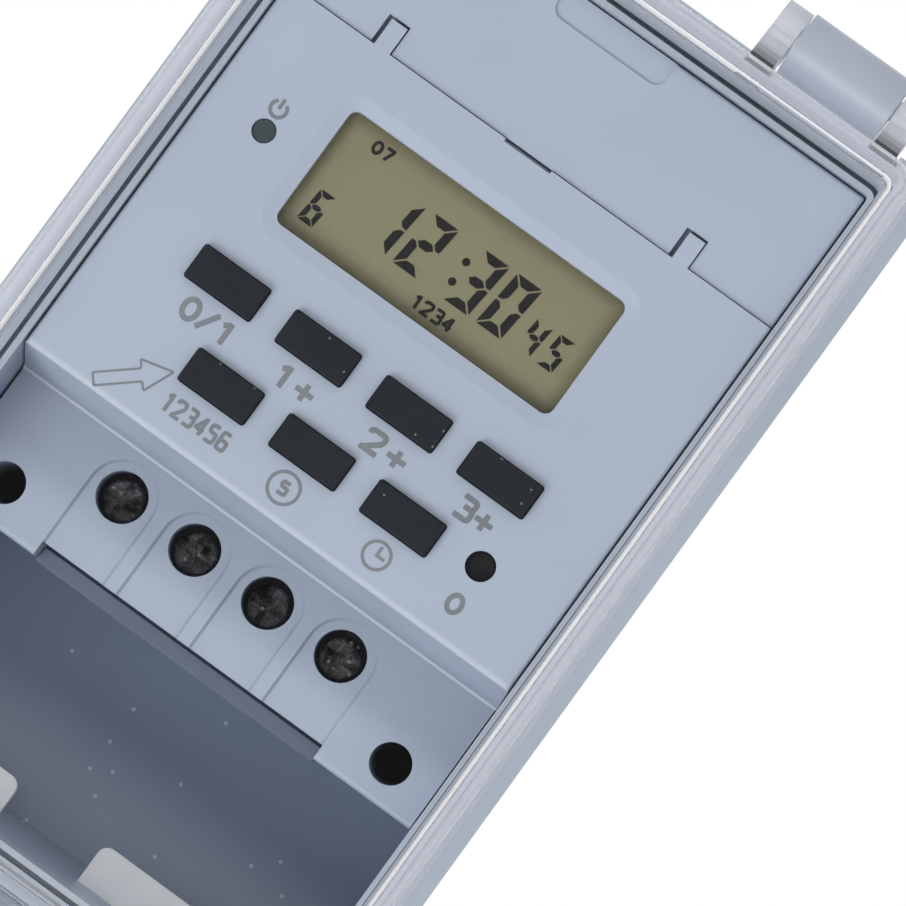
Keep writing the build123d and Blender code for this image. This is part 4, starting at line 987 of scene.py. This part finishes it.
class TIMER_OT_stage(bpy.types.Operator):
    """Make the floor, world, lamps and camera."""

    bl_idname = "timer.stage"
    bl_label = "Stage"

    def execute(self, context):
        settings = context.scene.timer_stage
        self.make_floor()
        self.make_world(settings.ambient)
        self.make_lamp("key_lamp", KEY_PLACE, KEY_SIZE, settings.key_power)
        self.make_lamp("fill_lamp", FILL_PLACE, FILL_SIZE, settings.fill_power)
        self.make_camera(settings)
        context.scene.view_settings.view_transform = "Standard"
        return {"FINISHED"}

    def make_floor(self):
        """A flat sheet; far from the object it meets the white background."""
        reach, steps = 2.0, 9
        line = np.linspace(-reach, reach, steps)
        x, y = np.meshgrid(line, line, indexing="ij")
        points = np.column_stack([x.ravel(), y.ravel(), np.zeros(steps * steps)])
        i, j = np.meshgrid(np.arange(steps - 1), np.arange(steps - 1), indexing="ij")
        first = (i * steps + j).ravel()
        faces = np.column_stack([first, first + steps, first + steps + 1, first + 1])
        mesh = bpy.data.meshes.new("floor")
        mesh.from_pydata(points.tolist(), [], faces.tolist())
        mesh.materials.append(self.floor_material())
        floor = bpy.data.objects.new("floor", mesh)
        bpy.context.scene.collection.objects.link(floor)
        floor.visible_shadow = False

    def floor_material(self):
        """Pale and matt near the object, and white to the eye far away."""
        material, tree, shader, place, surface = start_material("pale_floor")
        set_inputs(shader, {
            "Base Color": (0.80, 0.80, 0.80, 1), "Roughness": 0.9, "Specular IOR Level": 0.1,
        })
        distance = add_node(tree, "ShaderNodeVectorMath", "from the object", operation="LENGTH")
        wire(tree, place, distance.inputs[0])
        far = remap(tree, distance.outputs["Value"], "far away", 0.16, 0.34, smooth=True)
        path = add_node(tree, "ShaderNodeLightPath").outputs
        eye = path["Is Camera Ray"]
        seen = larger(tree, larger(tree, eye, path["Is Transmission Ray"]), path["Is Glossy Ray"])
        front = self.dim_front(tree, separate(tree, place)["Y"], -0.5, -0.1)
        glow = add_node(tree, "ShaderNodeEmission", "white background")
        wire(tree, level_between(tree, eye, front, 1.0, "white to the eye"), glow.inputs["Strength"])
        wire(tree, shader_between(tree, product(tree, far, seen), shader.outputs["BSDF"],
                                  glow.outputs["Emission"]), surface)
        return material

    def dim_front(self, tree, value, start, end):
        """A level that falls from white to nearly black towards the front, as in the room behind a camera."""
        return remap(tree, value, "towards the front", start, end, low=NEARLY_BLACK, smooth=True)

    def make_world(self, ambient):
        """White to the eye, dimmer in front for reflections, and an even soft light for surfaces."""
        world = bpy.data.worlds.new("studio")
        bpy.context.scene.world = world
        world.use_nodes = True
        tree = world.node_tree
        tree.nodes.clear()
        coords = add_node(tree, "ShaderNodeTexCoord")
        front = self.dim_front(tree, separate(tree, coords.outputs["Generated"])["Y"], -0.97, -0.15)
        path = add_node(tree, "ShaderNodeLightPath").outputs
        bounced = larger(tree, path["Is Glossy Ray"], path["Is Transmission Ray"])
        level = level_between(tree, bounced, ambient, front, "gloss or ambient")
        shade = add_node(tree, "ShaderNodeBackground")
        shade.inputs["Color"].default_value = (1, 1, 1, 1)
        wire(tree, level_between(tree, path["Is Camera Ray"], level, 1.0, "white to the eye"),
             shade.inputs["Strength"])
        wire(tree, shade.outputs["Background"], add_node(tree, "ShaderNodeOutputWorld").inputs["Surface"])

    def make_lamp(self, name, place, size, power):
        """A square soft lamp that faces the aim."""
        lamp = bpy.data.lights.new(name, "AREA")
        lamp.size = size
        lamp.energy = power
        holder = bpy.data.objects.new(name, lamp)
        bpy.context.scene.collection.objects.link(holder)
        holder.location = place
        holder.rotation_euler = (AIM - place).to_track_quat("-Z", "Y").to_euler()

    def make_camera(self, settings):
        """The photograph's view: nearly square to the face and turned about the line of sight."""
        forward = (CAMERA_AIM - CAMERA_PLACE).normalized()
        upward = Vector((-math.sin(settings.roll), 0, math.cos(settings.roll)))
        upward = (upward - upward.dot(forward) * forward).normalized()
        right = forward.cross(upward)
        turn = Matrix((right, upward, -forward)).transposed().to_4x4()
        camera = bpy.data.cameras.new("camera")
        camera.lens = settings.lens
        camera.sensor_width = 36
        camera.clip_start = 0.01
        holder = bpy.data.objects.new("camera", camera)
        bpy.context.scene.collection.objects.link(holder)
        holder.matrix_world = Matrix.Translation(CAMERA_PLACE) @ turn
        bpy.context.scene.camera = holder


class TIMER_PT_panel(bpy.types.Panel):
    """Lists the sizes, colours and pieces."""

    bl_idname = "TIMER_PT_panel"
    bl_label = "Timer switch"
    bl_space_type = "VIEW_3D"
    bl_region_type = "UI"
    bl_category = "Timer switch"

    def draw(self, context):
        layout = self.layout
        for owner, names in (
            (context.scene.timer_finish, ("case_color", "module_color", "key_color", "print_color")),
            (context.scene.timer_display, ("glass_color", "digit_width", "digit_height", "segment", "slant")),
            (context.scene.timer_stage, ("lens", "roll", "key_power", "fill_power", "ambient")),
        ):
            for name in names:
                layout.prop(owner, name)
        for operator in PIECES:
            layout.operator(operator.bl_idname)


PIECES = (
    TIMER_OT_shared_groups,
    TIMER_OT_case,
    TIMER_OT_module,
    TIMER_OT_cover,
    TIMER_OT_display,
    TIMER_OT_printing,
    TIMER_OT_keys,
    TIMER_OT_terminals,
    TIMER_OT_grommets,
    TIMER_OT_inside,
    TIMER_OT_stage,
)
CLASSES = (FinishSettings, DisplaySettings, StageSettings) + PIECES + (TIMER_PT_panel,)


def register():
    """Registers the classes and the settings."""
    for item in CLASSES:
        bpy.utils.register_class(item)
    bpy.types.Scene.timer_finish = bpy.props.PointerProperty(type=FinishSettings)
    bpy.types.Scene.timer_display = bpy.props.PointerProperty(type=DisplaySettings)
    bpy.types.Scene.timer_stage = bpy.props.PointerProperty(type=StageSettings)


def unregister():
    """Removes the settings and the classes."""
    del bpy.types.Scene.timer_stage
    del bpy.types.Scene.timer_display
    del bpy.types.Scene.timer_finish
    for item in reversed(CLASSES):
        bpy.utils.unregister_class(item)


def main():
    """Makes every piece in order."""
    register()
    bpy.ops.timer.shared_groups()
    bpy.ops.timer.case()
    bpy.ops.timer.module()
    bpy.ops.timer.cover()
    bpy.ops.timer.display()
    bpy.ops.timer.printing()
    bpy.ops.timer.keys()
    bpy.ops.timer.terminals()
    bpy.ops.timer.grommets()
    bpy.ops.timer.inside()
    bpy.ops.timer.stage()


if __name__ == "__main__":
    main()
